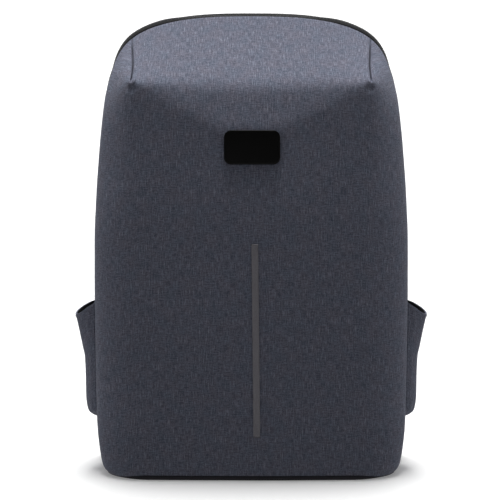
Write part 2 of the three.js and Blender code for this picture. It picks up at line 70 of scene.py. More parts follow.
UV_UNIT = 100.0  # millimetres of cloth to one unit of the weave's UV map
RING_SIDES = 20
MERGED = 0.01  # points nearer than this are one
FAR_OFF = 0.2  # metres, from where a ray looks for a pad's face
ACROSS, BACKWARD, UPWARD = np.eye(3)

Colour = tuple[float, float, float, float]
Points = np.ndarray


# Small tools


def linear(hex_colour: str) -> Colour:
    """Turns an sRGB hex value such as "#3d4049" into a linear colour.

    Args:
        hex_colour: The value, with its hash sign.

    Returns:
        Red, green, blue and an alpha of one.
    """
    channels = [int(hex_colour[i : i + 2], 16) / 255 for i in (1, 3, 5)]
    red, green, blue = (c / 12.92 if c <= 0.04045 else ((c + 0.055) / 1.055) ** 2.4 for c in channels)
    return red, green, blue, 1.0


def feed(tree: bpy.types.NodeTree, node: bpy.types.Node, inputs: dict[Any, Any]) -> None:
    """Fills or links a node's inputs.

    Args:
        tree: The tree that holds the node.
        node: The node.
        inputs: An input's name or index to a plain value, or to the output that feeds it.
    """
    for key, value in inputs.items():
        if isinstance(value, bpy.types.NodeSocket):
            tree.links.new(value, node.inputs[key])
        else:
            node.inputs[key].default_value = value


def add_node(
    tree: bpy.types.NodeTree, kind: str, inputs: dict[Any, Any] | None = None, **settings: Any
) -> bpy.types.Node:
    """Adds a node, sets its properties, and fills or links its inputs.

    Args:
        tree: The tree that takes the node.
        kind: Blender's name for the node's type.
        inputs: What its inputs take, as feed has it.
        **settings: Properties of the node itself.

    Returns:
        The new node.
    """
    node = tree.nodes.new(kind)
    for name, value in settings.items():
        setattr(node, name, value)
    feed(tree, node, inputs or {})
    return node


def smoothstep(low: float, high: float, at: Any) -> Any:
    """Rises smoothly from 0 at low to 1 at high."""
    t = np.clip((np.asarray(at, dtype=float) - low) / (high - low), 0.0, 1.0)
    return t * t * (3 - 2 * t)


def soft_hinge(distance: Any, softness: Any) -> Any:
    """Bends from level to a slope of one, rounded over about five times the softness."""
    return softness * np.logaddexp(0.0, distance / softness)


def bump(off: Any, spread: Any) -> Any:
    """A rounded ridge of height one."""
    return np.exp(-((off / spread) ** 2))


def round_off(near: Any) -> Any:
    """How far a rounded edge falls away, from 0 at its start to 1 at its end."""
    return 1 - np.sqrt(1 - np.clip(near, 0, 1) ** 2)


def unit(vectors: Points) -> Points:
    """Vectors brought to a length of one."""
    return vectors / np.linalg.norm(vectors, axis=-1, keepdims=True)


def read_table(rows: Sequence[NamedTuple], by: str, column: str, at: Any) -> Any:
    """Reads one column of a table at values of another, smoothly and without overshoot.

    Args:
        rows: The table.
        by: The column that is looked up.
        column: The column that is read.
        at: Where to read it.

    Returns:
        The values read, in the shape of at.
    """
    x = np.array([getattr(row, by) for row in rows], dtype=float)
    y = np.array([getattr(row, column) for row in rows], dtype=float)
    if x[0] > x[-1]:
        x, y = x[::-1], y[::-1]
    at = np.clip(np.asarray(at, dtype=float), x[0], x[-1])
    chord = np.diff(y) / np.diff(x)
    before, after = chord[:-1], chord[1:]
    agree = before * after > 0
    inner = np.where(agree, 2 * before * after / np.where(agree, before + after, 1.0), 0.0)
    slope = np.concatenate([chord[:1], inner, chord[-1:]])
    i = np.clip(np.searchsorted(x, at) - 1, 0, len(x) - 2)
    span = x[i + 1] - x[i]
    t = (at - x[i]) / span
    eased = y[i] + (y[i + 1] - y[i]) * t * t * (3 - 2 * t)
    return eased + span * t * (1 - t) * (slope[i] * (1 - t) - slope[i + 1] * t)


def spaced(zones: Sequence[tuple[float, int]], start: float = 0.0) -> np.ndarray:
    """Places for a net's rows or columns.

    Args:
        zones: Each zone's end and how many steps it has.
        start: Where the first zone begins.

    Returns:
        All the places, from start to the last zone's end.
    """
    places = [np.array([start])]
    for end, count in zones:
        places.append(np.linspace(places[-1][-1], end, count + 1)[1:])
    return np.concatenate(places)


def numbered(net: Points) -> np.ndarray:
    """Vertex indices, laid out as a net's points are."""
    return np.arange(net[..., 0].size).reshape(net.shape[:-1])


def grid_faces(index: np.ndarray) -> np.ndarray:
    """Quads over a net of vertex indices, rows by columns."""
    corners = (index[:-1, :-1], index[:-1, 1:], index[1:, 1:], index[1:, :-1])
    return np.stack([corner.ravel() for corner in corners], axis=1)


def shut_faces(index: np.ndarray) -> np.ndarray:
    """Quads over two nets of indices, one behind the other, and round their common rim.

    Args:
        index: The outer net and the inner one.

    Returns:
        Vertex indices of each face.
    """
    rims = []
    for net in index:
        rims.append(np.concatenate([net[:, 0], net[-1, 1:-1], net[::-1, -1], net[0, -2:0:-1], net[:1, 0]]))
    return np.concatenate([grid_faces(index[0]), grid_faces(index[1])[:, ::-1], grid_faces(np.stack(rims))])


def run_lengths(points: Points) -> np.ndarray:
    """Distance run along each line of points, whose places are in the last axis but one."""
    steps = np.linalg.norm(np.diff(points, axis=-2), axis=-1)
    return np.concatenate([np.zeros_like(steps[..., :1]), np.cumsum(steps, axis=-1)], axis=-1)


def net_cloth(net: Points) -> Points:
    """Millimetres of cloth across and up a net of points, rows by columns."""
    return np.stack([run_lengths(net), run_lengths(net.swapaxes(0, 1)).T], axis=-1)


def linked(name: str, data: bpy.types.ID) -> bpy.types.Object:
    """A new object, linked to the scene.

    Args:
        name: The object's name.
        data: Its mesh, curve or camera.

    Returns:
        The object, at the origin.
    """
    made = bpy.data.objects.new(name, data)
    bpy.context.scene.collection.objects.link(made)
    return made


def make_object(
    name: str, points: Points, faces: Any, cloth: Points | None = None, closed: bool = False
) -> bpy.types.Object:
    """Makes a smooth mesh object at the origin from points in metres.

    Args:
        name: The object's name.
        points: One row for each vertex.
        faces: Vertex indices of each face.
        cloth: Millimetres of cloth at each vertex, for the weave.
        closed: Whether it is a solid, whose doubled seams are merged and whose faces turn outwards.

    Returns:
        The object, linked to the scene.
    """
    mesh = bpy.data.meshes.new(name)
    corners = [[int(i) for i in face] for face in faces]
    mesh.from_pydata(np.asarray(points).reshape(-1, 3).tolist(), [], corners)
    if cloth is not None:
        loops = np.empty(len(mesh.loops), dtype=np.int32)
        mesh.loops.foreach_get("vertex_index", loops)
        flat = (np.asarray(cloth).reshape(-1, 2)[loops] / UV_UNIT).astype(np.float32)
        mesh.uv_layers.new(name=WEAVE_UV).data.foreach_set("uv", flat.ravel())
    if closed:
        solid = bmesh.new()
        solid.from_mesh(mesh)
        bmesh.ops.remove_doubles(solid, verts=solid.verts, dist=MERGED * MM)
        bmesh.ops.recalc_face_normals(solid, faces=solid.faces)
        solid.to_mesh(mesh)
        solid.free()
    mesh.polygons.foreach_set("use_smooth", [True] * len(mesh.polygons))
    mesh.update()
    return linked(name, mesh)


def thicken(piece: bpy.types.Object, wall: float, lining: Finish | None = None) -> None:
    """Gives a sheet a wall on its inner side.

    Args:
        piece: The sheet, with its own finish.
        wall: The wall's thickness in millimetres.
        lining: What its inner side is made of, if that differs.
    """
    solidify = piece.modifiers.new("wall", "SOLIDIFY")
    solidify.thickness = wall * MM
    solidify.offset = -1.0
    if lining is not None:
        piece.data.materials.append(lining.material())
        solidify.material_offset = 1


def soften(piece: bpy.types.Object) -> None:
    """Rounds a padded piece's facets by one level of subdivision."""
    smooth = piece.modifiers.new("smooth", "SUBSURF")
    smooth.levels = smooth.render_levels = 1


def bake(piece: bpy.types.Object) -> None:
    """Replaces an object's mesh by what its modifiers make of it, and removes them.

    Args:
        piece: The object.
    """
    graph = bpy.context.evaluated_depsgraph_get()
    made = bpy.data.meshes.new_from_object(piece.evaluated_get(graph), depsgraph=graph)
    piece.modifiers.clear()
    old, piece.data = piece.data, made
    made.name = piece.name
    bpy.data.meshes.remove(old)


def vertex_places(piece: bpy.types.Object) -> Points:
    """Reads a mesh's vertices.

    Args:
        piece: The mesh object.

    Returns:
        Their places in metres, one row for each.
    """
    flat = np.empty(3 * len(piece.data.vertices))
    piece.data.vertices.foreach_get("co", flat)
    return flat.reshape(-1, 3)


# The bag's form


class WidthAt(NamedTuple):
    """Half the outline's width at a height."""

    height: float
    half_width: float


class DepthAt(NamedTuple):
    """How far the front stands before the gusset's rear edge at a height."""

    height: float
    depth: float


class CornerAt(NamedTuple):
    """How wide and deep an upright corner is rounded at a height."""

    height: float
    width: float
    depth: float


class DartAt(NamedTuple):
    """Where a dart's fold runs at a share of its height above the tip."""

    share: float
    x: float


class Ridge(NamedTuple):
    """A long ridge, or a hollow where its height is negative, beside a dart's fold."""

    outward: float
    height: float
    spread: float


class Dent(NamedTuple):
    """A round hollow by a dart's tip, placed from it outwards and upwards."""

    outward: float
    up: float
    sink: float
    spread: float


@dataclass(frozen=True)
class BagForm:
    """The bag's outline and depth, as its solids have them, with the cloth's finer folds."""

    rear: float
    height: float = 448.0
    shoulder: float = 400.0
    crown_half_width: float = 138.1
    crown_spring: float = 360.0
    crown_side_power: float = 2.8
    crown_top_power: float = 3.66
    crown_rise_from: float = 250.0
    bow_foot: float = 3.5
    bow_full: float = 10.0
    bow_full_from: float = 120.0
    dart_x: float = 117.0
    tip_height: float = 390.2
    crease_middle: float = 387.5
    tip_softness: float = 1.6
    middle_softness: float = 3.6
    middle_from: float = 0.6
    side_softness: float = 11.0
    facet_slope: float = 0.24
    facet_foot_x: float = 27.0
    facet_foot: float = 345.0
    facet_softness: float = 2.5
    shoulder_slope: float = 0.2
    shoulder_from: float = 310.0
    shoulder_softness: float = 20.0
    shoulder_in: float = 114.0
    shoulder_out: float = 142.0
    gusset_crown: float = 18.0
    gusset_side: float = 25.0
    gusset_even_from: float = 95.0
    seam_lip: float = 3.0
    base_corner: float = 0.4
    base_middle: float = 4.2
    base_full_to: float = 102.0
    base_thin_from: float = 132.0
    base_lift_to: float = 20.0
    corner_share: float = 0.6
    groove_depth: float = 18.0
    groove_inner: float = 0.5
    groove_outer: float = 0.8
    dart_start: float = 0.04
    dart_fade: float = 0.75
    dart_fade_from: float = 0.5
    dart_fade_to: float = 0.95
    slack_broad: float = 0.35
    slack_fine: float = 0.15
    back_edge: float = 4.0
    back_rise: float = 12.0
    back_roundness: float = 4.0

    silhouette: ClassVar[tuple[WidthAt, ...]] = (
        WidthAt(0, 142.6),
        WidthAt(3, 145.2),
        WidthAt(8, 147.3),
        WidthAt(16, 148.9),
        WidthAt(32, 151),
        WidthAt(50, 152.4),
        WidthAt(110, 153.8),
        WidthAt(177, 154.3),
        WidthAt(233, 154),
        WidthAt(271, 152.4),
        WidthAt(292, 151.2),
        WidthAt(331, 148.1),
        WidthAt(350, 146.2),
        WidthAt(370, 143.8),
        WidthAt(383, 141.2),
        WidthAt(400, 135.6),
    )
    front_profile: ClassVar[tuple[DepthAt, ...]] = (
        DepthAt(0, 115),
        DepthAt(10, 120),
        DepthAt(60, 126),
        DepthAt(150, 129),
        DepthAt(250, 127.5),
        DepthAt(345, 120),
        DepthAt(385, 116.5),
        DepthAt(448, 111),
    )
    corner: ClassVar[tuple[CornerAt, ...]] = (
        CornerAt(0, 43, 38),
        CornerAt(290, 50, 44),
        CornerAt(370, 36, 35),
        CornerAt(448, 34, 34),
    )
    dart_line: ClassVar[tuple[DartAt, ...]] = (
        DartAt(0.0, 115.6),
        DartAt(0.15, 114.9),
        DartAt(0.3, 114.8),
        DartAt(0.55, 115.9),
        DartAt(1.0, 118.4),
    )
    dart_ridges: ClassVar[tuple[Ridge, ...]] = (
        Ridge(-3.2, 1.4, 2.2),
        Ridge(4.5, -0.8, 3.0),
    )
    dart_dents: ClassVar[tuple[Dent, ...]] = (
        Dent(0.0, 0.0, -2.0, 4.5),
        Dent(0.0, -6.0, 2.2, 4.0),
    )

    @classmethod
    def from_frame(cls) -> BagForm:
        """Reads where the gusset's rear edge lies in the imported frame."""
        _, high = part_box("zip_gusset")
        return cls(rear=high.y / MM + SEAM_GAP)

    def place(self, points: Points) -> Points:
        """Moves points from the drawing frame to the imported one, in metres."""
        return (np.asarray(points, dtype=float) + (0.0, self.rear, 0.0)) * MM

    def half_width(self, height: Any) -> Any:
        """Half the outline's width at a height on its side."""
        return read_table(self.silhouette, "height", "half_width", height)

    def crown_at(self, x: Any) -> Any:
        """Gives the crown's height across the bag.

        Args:
            x: Places across the bag.

        Returns:
            The heights.
        """
        side = np.clip(np.abs(x) / self.crown_half_width, 0, 1) ** self.crown_side_power
        rise = (1 - side) ** (1 / self.crown_top_power)
        return self.crown_spring + (self.height - self.crown_spring) * rise

    def gusset_depth(self, x: Any) -> Any:
        """How far before the gusset's rear edge the shell ends."""
        even = smoothstep(0, self.gusset_even_from, np.abs(x))
        return self.gusset_crown + (self.gusset_side - self.gusset_crown) * even

    def base_height(self, x: Any) -> Any:
        """The base's height across the bag: a shallow crescent."""
        share = smoothstep(self.base_full_to, self.base_thin_from, np.abs(x))
        return self.base_middle + (self.base_corner - self.base_middle) * share

    def upright_depth(self, ax: Any, z: Any) -> Any:
        """Gives the front's depth before its corners are rounded and the top slopes away.

        Args:
            ax: Places out from the bag's middle.
            z: Heights.

        Returns:
            The depths.
        """
        profile = read_table(self.front_profile, "height", "depth", z)
        bow = self.bow_foot + (self.bow_full - self.bow_foot) * smoothstep(0, self.bow_full_from, z)
        return profile - bow * (ax / self.crown_half_width) ** 2

    def facet_drop(self, ax: Any, z: Any) -> Any:
        """Leans a shallow facet back between the dart tips and the plate.

        Args:
            ax: Places out from the bag's middle.
            z: Heights.

        Returns:
            How much depth it takes off.
        """
        to_tip = np.clip((ax - self.facet_foot_x) / (self.dart_x - self.facet_foot_x), 0, 1)
        foot = self.facet_foot + (self.tip_height - self.facet_foot) * to_tip
        return self.facet_slope * soft_hinge(z - foot, self.facet_softness)

    def shoulder_drop(self, ax: Any, z: Any) -> Any:
        """How the upright corners lean back outside the dart tips."""
        lean = self.shoulder_slope * soft_hinge(z - self.shoulder_from, self.shoulder_softness)
        return lean * smoothstep(self.shoulder_in, self.shoulder_out, ax)

    def top_hinge(self, ax: Any, z: Any) -> Any:
        """Bends the top at a crease, sharp at the dart tips and soft between and beyond them.

        Args:
            ax: Places out from the bag's middle.
            z: Heights.

        Returns:
            The height above the crease, rounded where it starts.
        """
        inward = np.clip(1 - ax / self.dart_x, 0, 1)
        outward = np.clip((ax - self.dart_x) / (self.crown_half_width - self.dart_x), 0, 1)
        rise = smoothstep(0, 1, inward)
        height = self.tip_height + (self.crease_middle - self.tip_height) * rise
        inner = smoothstep(0, self.middle_from, inward)
        softness = self.tip_softness + (self.middle_softness - self.tip_softness) * inner
        return soft_hinge(z - height, softness + (self.side_softness - softness) * outward)

    def top_slope(self, ax: Any) -> Any:
        """Finds the slope that brings the top down to the gusset's lip at the crown.

        Args:
            ax: Places out from the bag's middle.

        Returns:
            Depth lost for each millimetre above the crease.
        """
        x = np.minimum(ax, self.dart_x)
        crown = self.crown_at(x)
        lip = self.gusset_depth(x) + self.seam_lip
        drop = self.upright_depth(x, crown) - self.facet_drop(x, crown) - lip
        return drop / self.top_hinge(x, crown)

    def dart_relief(self, ax: Any, z: Any) -> Any:
        """Sinks the sewn fold of a dart, with the pinch and hollows round its tip.

        Args:
            ax: Places out from the bag's middle.
            z: Heights.

        Returns:
            How much depth it adds.
        """
        share = (z - self.tip_height) / (self.crown_at(self.dart_x) - self.tip_height)
        off = ax - read_table(self.dart_line, "share", "x", share)
        fade = self.dart_fade * smoothstep(self.dart_fade_from, self.dart_fade_to, share)
        strength = smoothstep(-self.dart_start, self.dart_start, share) * (1 - fade)
        fold = -self.groove_depth * bump(off, np.where(off < 0, self.groove_inner, self.groove_outer))
        for ridge in self.dart_ridges:
            fold = fold + ridge.height * bump(off - ridge.outward, ridge.spread)
        hollow = 0.0
        for dent in self.dart_dents:
            off_x, off_z = ax - self.dart_line[0].x - dent.outward, z - self.tip_height - dent.up
            hollow = hollow + dent.sink * bump(np.hypot(off_x, off_z), dent.spread)
        return strength * fold - hollow

    def slack(self, x: Any, z: Any) -> Any:
        """Gives the slight unevenness of stiffened cloth, in broad swells and finer slanting ones.

        Args:
            x: Places across the bag.
            z: Heights.

        Returns:
            How much depth it adds.
        """
        # Millimetres for each radian, shifted so that the two sides of the bag differ
        broad = np.sin(x / 27 + 0.7) * np.sin(z / 36 + 1.1)
        fine = np.sin(x / 13 - z / 19 + 0.4)
        return self.slack_broad * broad + self.slack_fine * fine

    def corner_at(self, z: Any) -> tuple[Any, Any]:
        """How wide and how deep the upright corners are rounded at a height."""
        width = read_table(self.corner, "height", "width", z)
        return width, read_table(self.corner, "height", "depth", z)

    def front_depth(self, x: Any, z: Any, side_width: Any) -> Any:
        """Gives how far the cloth stands before the gusset's rear edge.

        Args:
            x: Places across the bag.
            z: Heights.
            side_width: Half the outline's width beside each place.

        Returns:
            The depths.
        """
        ax = np.abs(x)
        lip = self.gusset_depth(x) + self.seam_lip
        sloped = self.top_slope(ax) * self.top_hinge(ax, z)
        flat = self.upright_depth(ax, z) - self.facet_drop(ax, z) - self.shoulder_drop(ax, z) - sloped
        depth = np.maximum(flat + self.dart_relief(ax, z) + self.slack(x, z), lip)
        corner_width, corner_depth = self.corner_at(z)
        rounding = np.minimum(corner_depth, self.corner_share * (depth - lip))
        return depth - rounding * round_off(1 - (side_width - ax) / corner_width)

    def side_at(self, depth: Any, z: Any) -> Any:
        """Gives half the bag's width where an upright corner has a given depth.

        Args:
            depth: Distances before the gusset's rear edge.
            z: Heights.

        Returns:
            The half widths.
        """
        width = self.half_width(z)
        corner_width, corner_depth = self.corner_at(z)
        ahead = 1 - (self.upright_depth(width, z) - depth) / corner_depth
        return width - corner_width * round_off(ahead)

    def net(self, column: Any, side_height: Any) -> tuple[Any, Any, Any]:
        """Finds where a column of the outline's inside meets a row, seen from the front.

        Args:
            column: Signed place: up to 1 at a dart, then on to 2 at the side.
            side_height: The row's height on the side outline.

        Returns:
            The place across, the height, and half the outline's width there.
        """
        column, side_height = np.broadcast_arrays(
            np.asarray(column, dtype=float), np.asarray(side_height, dtype=float)
        )
        c = np.abs(column)

        def across(width: Any) -> Any:
            """Places across the bag where half the outline has a width."""
            outer = self.dart_x + (width - self.dart_x) * (c - 1)
            return np.sign(column) * np.where(c <= 1, c * self.dart_x, outer)

        side_width = self.half_width(side_height)
        x = across(side_width)
        rise = self.crown_at(across(self.half_width(self.shoulder))) - self.shoulder
        lift = (self.base_height(x) + SEAM_GAP) * (1 - smoothstep(0, self.base_lift_to, side_height))
        bend = smoothstep(self.crown_rise_from, self.shoulder, side_height)
        return x, side_height + lift + rise * bend, side_width

    def outline(self, columns: np.ndarray, rows: np.ndarray) -> Points:
        """Runs along the rear outline from the left foot over the crown to the right foot.

        Args:
            columns: Columns of the net, for the crown.
            rows: Rows of the net, for the sides.

        Returns:
            Places across and heights.
        """
        left = np.stack(self.net(-2.0, rows)[:2], axis=1)
        crown = np.stack(self.net(columns[1:-1], self.shoulder)[:2], axis=1)
        right = np.stack(self.net(2.0, rows)[:2], axis=1)[::-1]
        return np.concatenate([left, crown, right])

    def back_face(self, column: Any, side_height: Any) -> Any:
        """Gives how far the back panel's rear face stands behind the gusset.

        Args:
            column: Columns of the net.
            side_height: The rows' heights on the side outline.

        Returns:
            The distances.
        """
        across = (np.abs(column) / 2) ** self.back_roundness
        up = np.abs(2 * side_height / self.shoulder - 1) ** self.back_roundness
        return self.back_edge + self.back_rise * np.sqrt(np.clip((1 - across) * (1 - up), 0, None))

    def back_face_at(self, x: Any, z: Any) -> Any:
        """Gives how far the rear face stands behind the gusset at places on the back.

        Args:
            x: Places across the bag.
            z: Heights.

        Returns:
            The distances.
        """
        ax = np.abs(np.asarray(x, dtype=float))
        z = np.asarray(z, dtype=float)
        outer = 1 + (ax - self.dart_x) / (self.half_width(z) - self.dart_x)
        column = np.where(ax <= self.dart_x, ax / self.dart_x, outer)
        side_height = np.minimum(z, self.shoulder)
        # The row is found by stepping towards the height that it should have
        for _ in range(20):
            missed = z - self.net(column, side_height)[1]
            side_height = np.clip(side_height + missed, 0, self.shoulder)
        return self.back_face(column, side_height)


# Finishes


@dataclass(frozen=True)
class Finish:
    """What one material is, with its colour as an sRGB hex value."""

    name: str
    colour: str
    roughness: float

    def begin(self) -> tuple[bpy.types.Material, bpy.types.NodeTree, bpy.types.Node]:
        """Starts the material.

        Returns:
            The material, its tree and its shader.
        """
        material = bpy.data.materials.new(self.name)
        material.use_nodes = True
        tree = material.node_tree
        shader = tree.nodes["Principled BSDF"]
        feed(tree, shader, {"Base Color": linear(self.colour), "Roughness": self.roughness})
        material.diffuse_color = linear(self.colour)
        return material, tree, shader

    def material(self) -> bpy.types.Material:
        """The finished material, made once."""
        return bpy.data.materials.get(self.name) or self.make()

    def make(self) -> bpy.types.Material:
        """Builds the material's nodes."""
        return self.begin()[0]


@dataclass(frozen=True)
class MelangeCloth(Finish):
    """Two-tone polyester in plain weave: dark and pale yarns give a heathered, streaky grey."""

    pale: str = "#878a9b"
    slub: str = "#a8abb9"
    yarn: float = 0.95  # twice the real thread, so that it shows
    slub_length: float = 9.0
    mottle: float = 14.0

    def make(self) -> bpy.types.Material:
        """Mixes upright and level yarns of random tone, with pale slubs and a faint mottle.

        Returns:
            The material.
        """
        material, tree, shader = self.begin()
        cloth = add_node(tree, "ShaderNodeUVMap", uv_map=WEAVE_UV).outputs["UV"]

        def yarns(across: float, along: float, seed: float) -> bpy.types.NodeSocket:
            """Stretches random tones to a yarn's width and length.

            Args:
                across: The yarn's width in millimetres.
                along: Its length.
                seed: Shifts the pattern, so that no two are alike.

            Returns:
                The tones.
            """
            scaled = {
                "Vector": cloth,
                "Scale": (UV_UNIT / across, UV_UNIT / along, 1.0),
                "Location": (seed, seed * 0.7, 0.0),
            }
            places = add_node(tree, "ShaderNodeMapping", scaled).outputs["Vector"]
            noise = {"Vector": places, "Scale": 1.0, "Detail": 2.0, "Roughness": 0.55}
            return add_node(tree, "ShaderNodeTexNoise", noise, noise_dimensions="2D").outputs["Fac"]

        upright = yarns(self.yarn, self.slub_length, 3.1)
        level = yarns(self.slub_length * 0.7, self.yarn, 17.3)
        grain = yarns(self.yarn * 1.2, self.yarn * 1.2, 41.7)
        mottle = yarns(self.mottle, self.mottle, 73.9)
        both = add_node(tree, "ShaderNodeMath", {0: upright, 1: level}, operation="ADD").outputs[0]
        tone = add_node(tree, "ShaderNodeMath", {0: both, 1: grain}, operation="ADD").outputs[0]
        spread = {"Value": tone, "From Min": 1.15, "From Max": 1.9, "To Min": 0.0, "To Max": 1.0}
        share = add_node(tree, "ShaderNodeMapRange", spread).outputs["Result"]
        colours = {"Factor": share, 6: linear(self.colour), 7: linear(self.pale)}
        yarn_mix = add_node(tree, "ShaderNodeMix", colours, data_type="RGBA").outputs[2]
        rare = {"Value": upright, "From Min": 0.66, "From Max": 0.76, "To Min": 0.0, "To Max": 0.55}
        slubs = add_node(tree, "ShaderNodeMapRange", rare).outputs["Result"]
        streaks = {"Factor": slubs, 6: yarn_mix, 7: linear(self.slub)}
        streaked = add_node(tree, "ShaderNodeMix", streaks, data_type="RGBA").outputs[2]
        hue = {"Value": mottle, "From Min": 0.3, "From Max": 0.7, "To Min": 0.485, "To Max": 0.515}
        turn = add_node(tree, "ShaderNodeMapRange", hue).outputs["Result"]
        fade = {"Value": mottle, "From Min": 0.3, "From Max": 0.7, "To Min": 1.15, "To Max": 0.85}
        less = add_node(tree, "ShaderNodeMapRange", fade).outputs["Result"]
        shifted = {"Hue": turn, "Saturation": less, "Color": streaked}
        colour = add_node(tree, "ShaderNodeHueSaturation", shifted).outputs["Color"]
        relief = {"Height": tone, "Strength": 0.35, "Distance": 0.25 * MM}
        raised = add_node(tree, "ShaderNodeBump", relief).outputs["Normal"]
        sheen = {"Specular IOR Level": 0.25, "Sheen Weight": 0.04, "Sheen Roughness": 0.45}
        feed(tree, shader, {"Base Color": colour, "Normal": raised, **sheen})
        return material


@dataclass(frozen=True)
class WovenBlack(Finish):
    """Black polyester webbing or canvas: fine ribs that catch a soft sheen."""

    rib: float = 1.4  # coarser than the real yarns, so that it shows

    def make(self) -> bpy.types.Material:
        """Lays ribs across the cloth's length, crossed by finer yarns.

        Returns:
            The material.
        """
        material, tree, shader = self.begin()
        cloth = add_node(tree, "ShaderNodeUVMap", uv_map=WEAVE_UV).outputs["UV"]
        turns = 2 * math.pi * UV_UNIT / self.rib / 20  # the wave texture has 20 radians to a unit
        waves = []
        for direction, scale in (("X", turns), ("Y", turns * 1.3)):
            settings = {"wave_type": "BANDS", "bands_direction": direction}
            inputs = {"Vector": cloth, "Scale": scale, "Distortion": 0.0}
            waves.append(add_node(tree, "ShaderNodeTexWave", inputs, **settings).outputs["Fac"])
        crossed = {0: waves[0], 1: waves[1]}
        weave = add_node(tree, "ShaderNodeMath", crossed, operation="ADD").outputs[0]
        span = {"Value": weave, "From Max": 2.0, "To Min": 0.7, "To Max": 1.3}
        shade = add_node(tree, "ShaderNodeMapRange", span).outputs["Result"]
        tinted = {"Color": linear(self.colour), "Value": shade}
        colour = add_node(tree, "ShaderNodeHueSaturation", tinted).outputs["Color"]
        relief = {"Height": weave, "Strength": 0.5, "Distance": 0.3 * MM}
        raised = add_node(tree, "ShaderNodeBump", relief).outputs["Normal"]
        sheen = {"Specular IOR Level": 0.3, "Sheen Weight": 0.12}
        feed(tree, shader, {"Base Color": colour, "Normal": raised, **sheen})
        return material


@dataclass(frozen=True)
class AirMesh(Finish):
    """Knitted spacer mesh: rows of small open cells over dark foam, soft and without gloss. The cells are
    painted near-black: partly the foam's colour, partly painted shade in the holes.
    """

    cell: float = 3.6  # about twice the real cell, so that it shows
    # Colour of the open cells: the dark foam, with painted shade in the holes
    hollow: str = "#040404"

    def make(self) -> bpy.types.Material:
        """Opens cells on a diamond grid across the back, and paints them near-black as shade in the holes.

        Returns:
            The material.
        """
        material, tree, shader = self.begin()
        places = add_node(tree, "ShaderNodeTexCoord").outputs["Object"]
        axes = add_node(tree, "ShaderNodeSeparateXYZ", {"Vector": places}).outputs
        waves = []
        for operation in ("ADD", "SUBTRACT"):
            slant = add_node(tree, "ShaderNodeMath", {0: axes["X"], 1: axes["Z"]}, operation=operation)
            turns = {0: slant.outputs[0], 1: math.pi / (self.cell * MM)}
            turned = add_node(tree, "ShaderNodeMath", turns, operation="MULTIPLY").outputs[0]
            waves.append(add_node(tree, "ShaderNodeMath", {0: turned}, operation="SINE").outputs[0])
        crossed = {0: waves[0], 1: waves[1]}
        cells = add_node(tree, "ShaderNodeMath", crossed, operation="MULTIPLY").outputs[0]
        depth = add_node(tree, "ShaderNodeMath", {0: cells}, operation="ABSOLUTE").outputs[0]
        edge = {"Value": depth, "From Min": 0.35, "From Max": 0.75}
        open_cell = add_node(tree, "ShaderNodeMapRange", edge).outputs["Result"]
        # Painted shade: the cells are sunk only by a bump, so their near-black colour stands for the shade
        # in the holes as well as the foam beneath
        colours = {"Factor": open_cell, 6: linear(self.colour), 7: linear(self.hollow)}
        colour = add_node(tree, "ShaderNodeMix", colours, data_type="RGBA").outputs[2]
        sunk = {"Height": open_cell, "Strength": 0.7, "Distance": 0.8 * MM}
        raised = add_node(tree, "ShaderNodeBump", sunk, invert=True).outputs["Normal"]
        sheen = {"Specular IOR Level": 0.2, "Sheen Weight": 0.15}
        feed(tree, shader, {"Base Color": colour, "Normal": raised, **sheen})
        return material


@dataclass(frozen=True)
class MouldedPlastic(Finish):
    """Moulded plastic: gloss from a polished tool, or a fine spark-eroded grain."""

    grain: float = 0.6  # coarser than the mould's real grain, so that it shows
    grain_strength: float = 0.1
    specular: float = 0.5
    patch: float = 9.0

    def make(self) -> bpy.types.Material:
        """Gives the surface a fine grain and its gloss a little unevenness.

        Returns:
            The material.
        """
        material, tree, shader = self.begin()
        places = add_node(tree, "ShaderNodeTexCoord").outputs["Object"]
        fine = {"Vector": places, "Scale": 1 / (self.grain * MM), "Detail": 2.0}
        grain = add_node(tree, "ShaderNodeTexNoise", fine).outputs["Fac"]
        broad = {"Vector": places, "Scale": 1 / (self.patch * MM), "Detail": 3.0}
        patches = add_node(tree, "ShaderNodeTexNoise", broad).outputs["Fac"]
        span = {"Value": patches, "To Min": 0.8 * self.roughness, "To Max": 1.25 * self.roughness}
        gloss = add_node(tree, "ShaderNodeMapRange", span).outputs["Result"]
        relief = {"Height": grain, "Strength": self.grain_strength, "Distance": 0.05 * MM}
        raised = add_node(tree, "ShaderNodeBump", relief).outputs["Normal"]
        feed(tree, shader, {"Roughness": gloss, "Normal": raised, "Specular IOR Level": self.specular})
        return material


@dataclass(frozen=True)
class SpeckledFinish(Finish):
    """A plain surface of fine grains, such as glass beads on tape or fibres in thread."""

    grain: float = 0.5  # coarser than real beads and fibres, so that it shows
    contrast: float = 0.15
    metallic: float = 0.0

    def make(self) -> bpy.types.Material:
        """Speckles one colour with paler and darker grains.

        Returns:
            The material.
        """
        material, tree, shader = self.begin()
        places = add_node(tree, "ShaderNodeTexCoord").outputs["Object"]
        grains = {"Vector": places, "Scale": 1 / (self.grain * MM)}
        speckle = add_node(tree, "ShaderNodeTexVoronoi", grains).outputs["Color"]
        tone = add_node(tree, "ShaderNodeSeparateColor", {"Color": speckle}).outputs["Red"]
        span = {"Value": tone, "To Min": 1 - self.contrast, "To Max": 1 + self.contrast}
        shade = add_node(tree, "ShaderNodeMapRange", span).outputs["Result"]
        tinted = {"Color": linear(self.colour), "Value": shade}
        colour = add_node(tree, "ShaderNodeHueSaturation", tinted).outputs["Color"]
        feed(tree, shader, {"Base Color": colour, "Metallic": self.metallic})
        return material


# Blue-grey and heathered, without gloss
SHELL_CLOTH = MelangeCloth("melange polyester", "#565968", 0.9)
# A near-black inner side for the shell and the pockets, darker than the other black cloths; it stays in
# shadow
NEAR_BLACK_INSIDE = WovenBlack("near-black inside", "#0d0d0f", 0.9, rib=1.2)
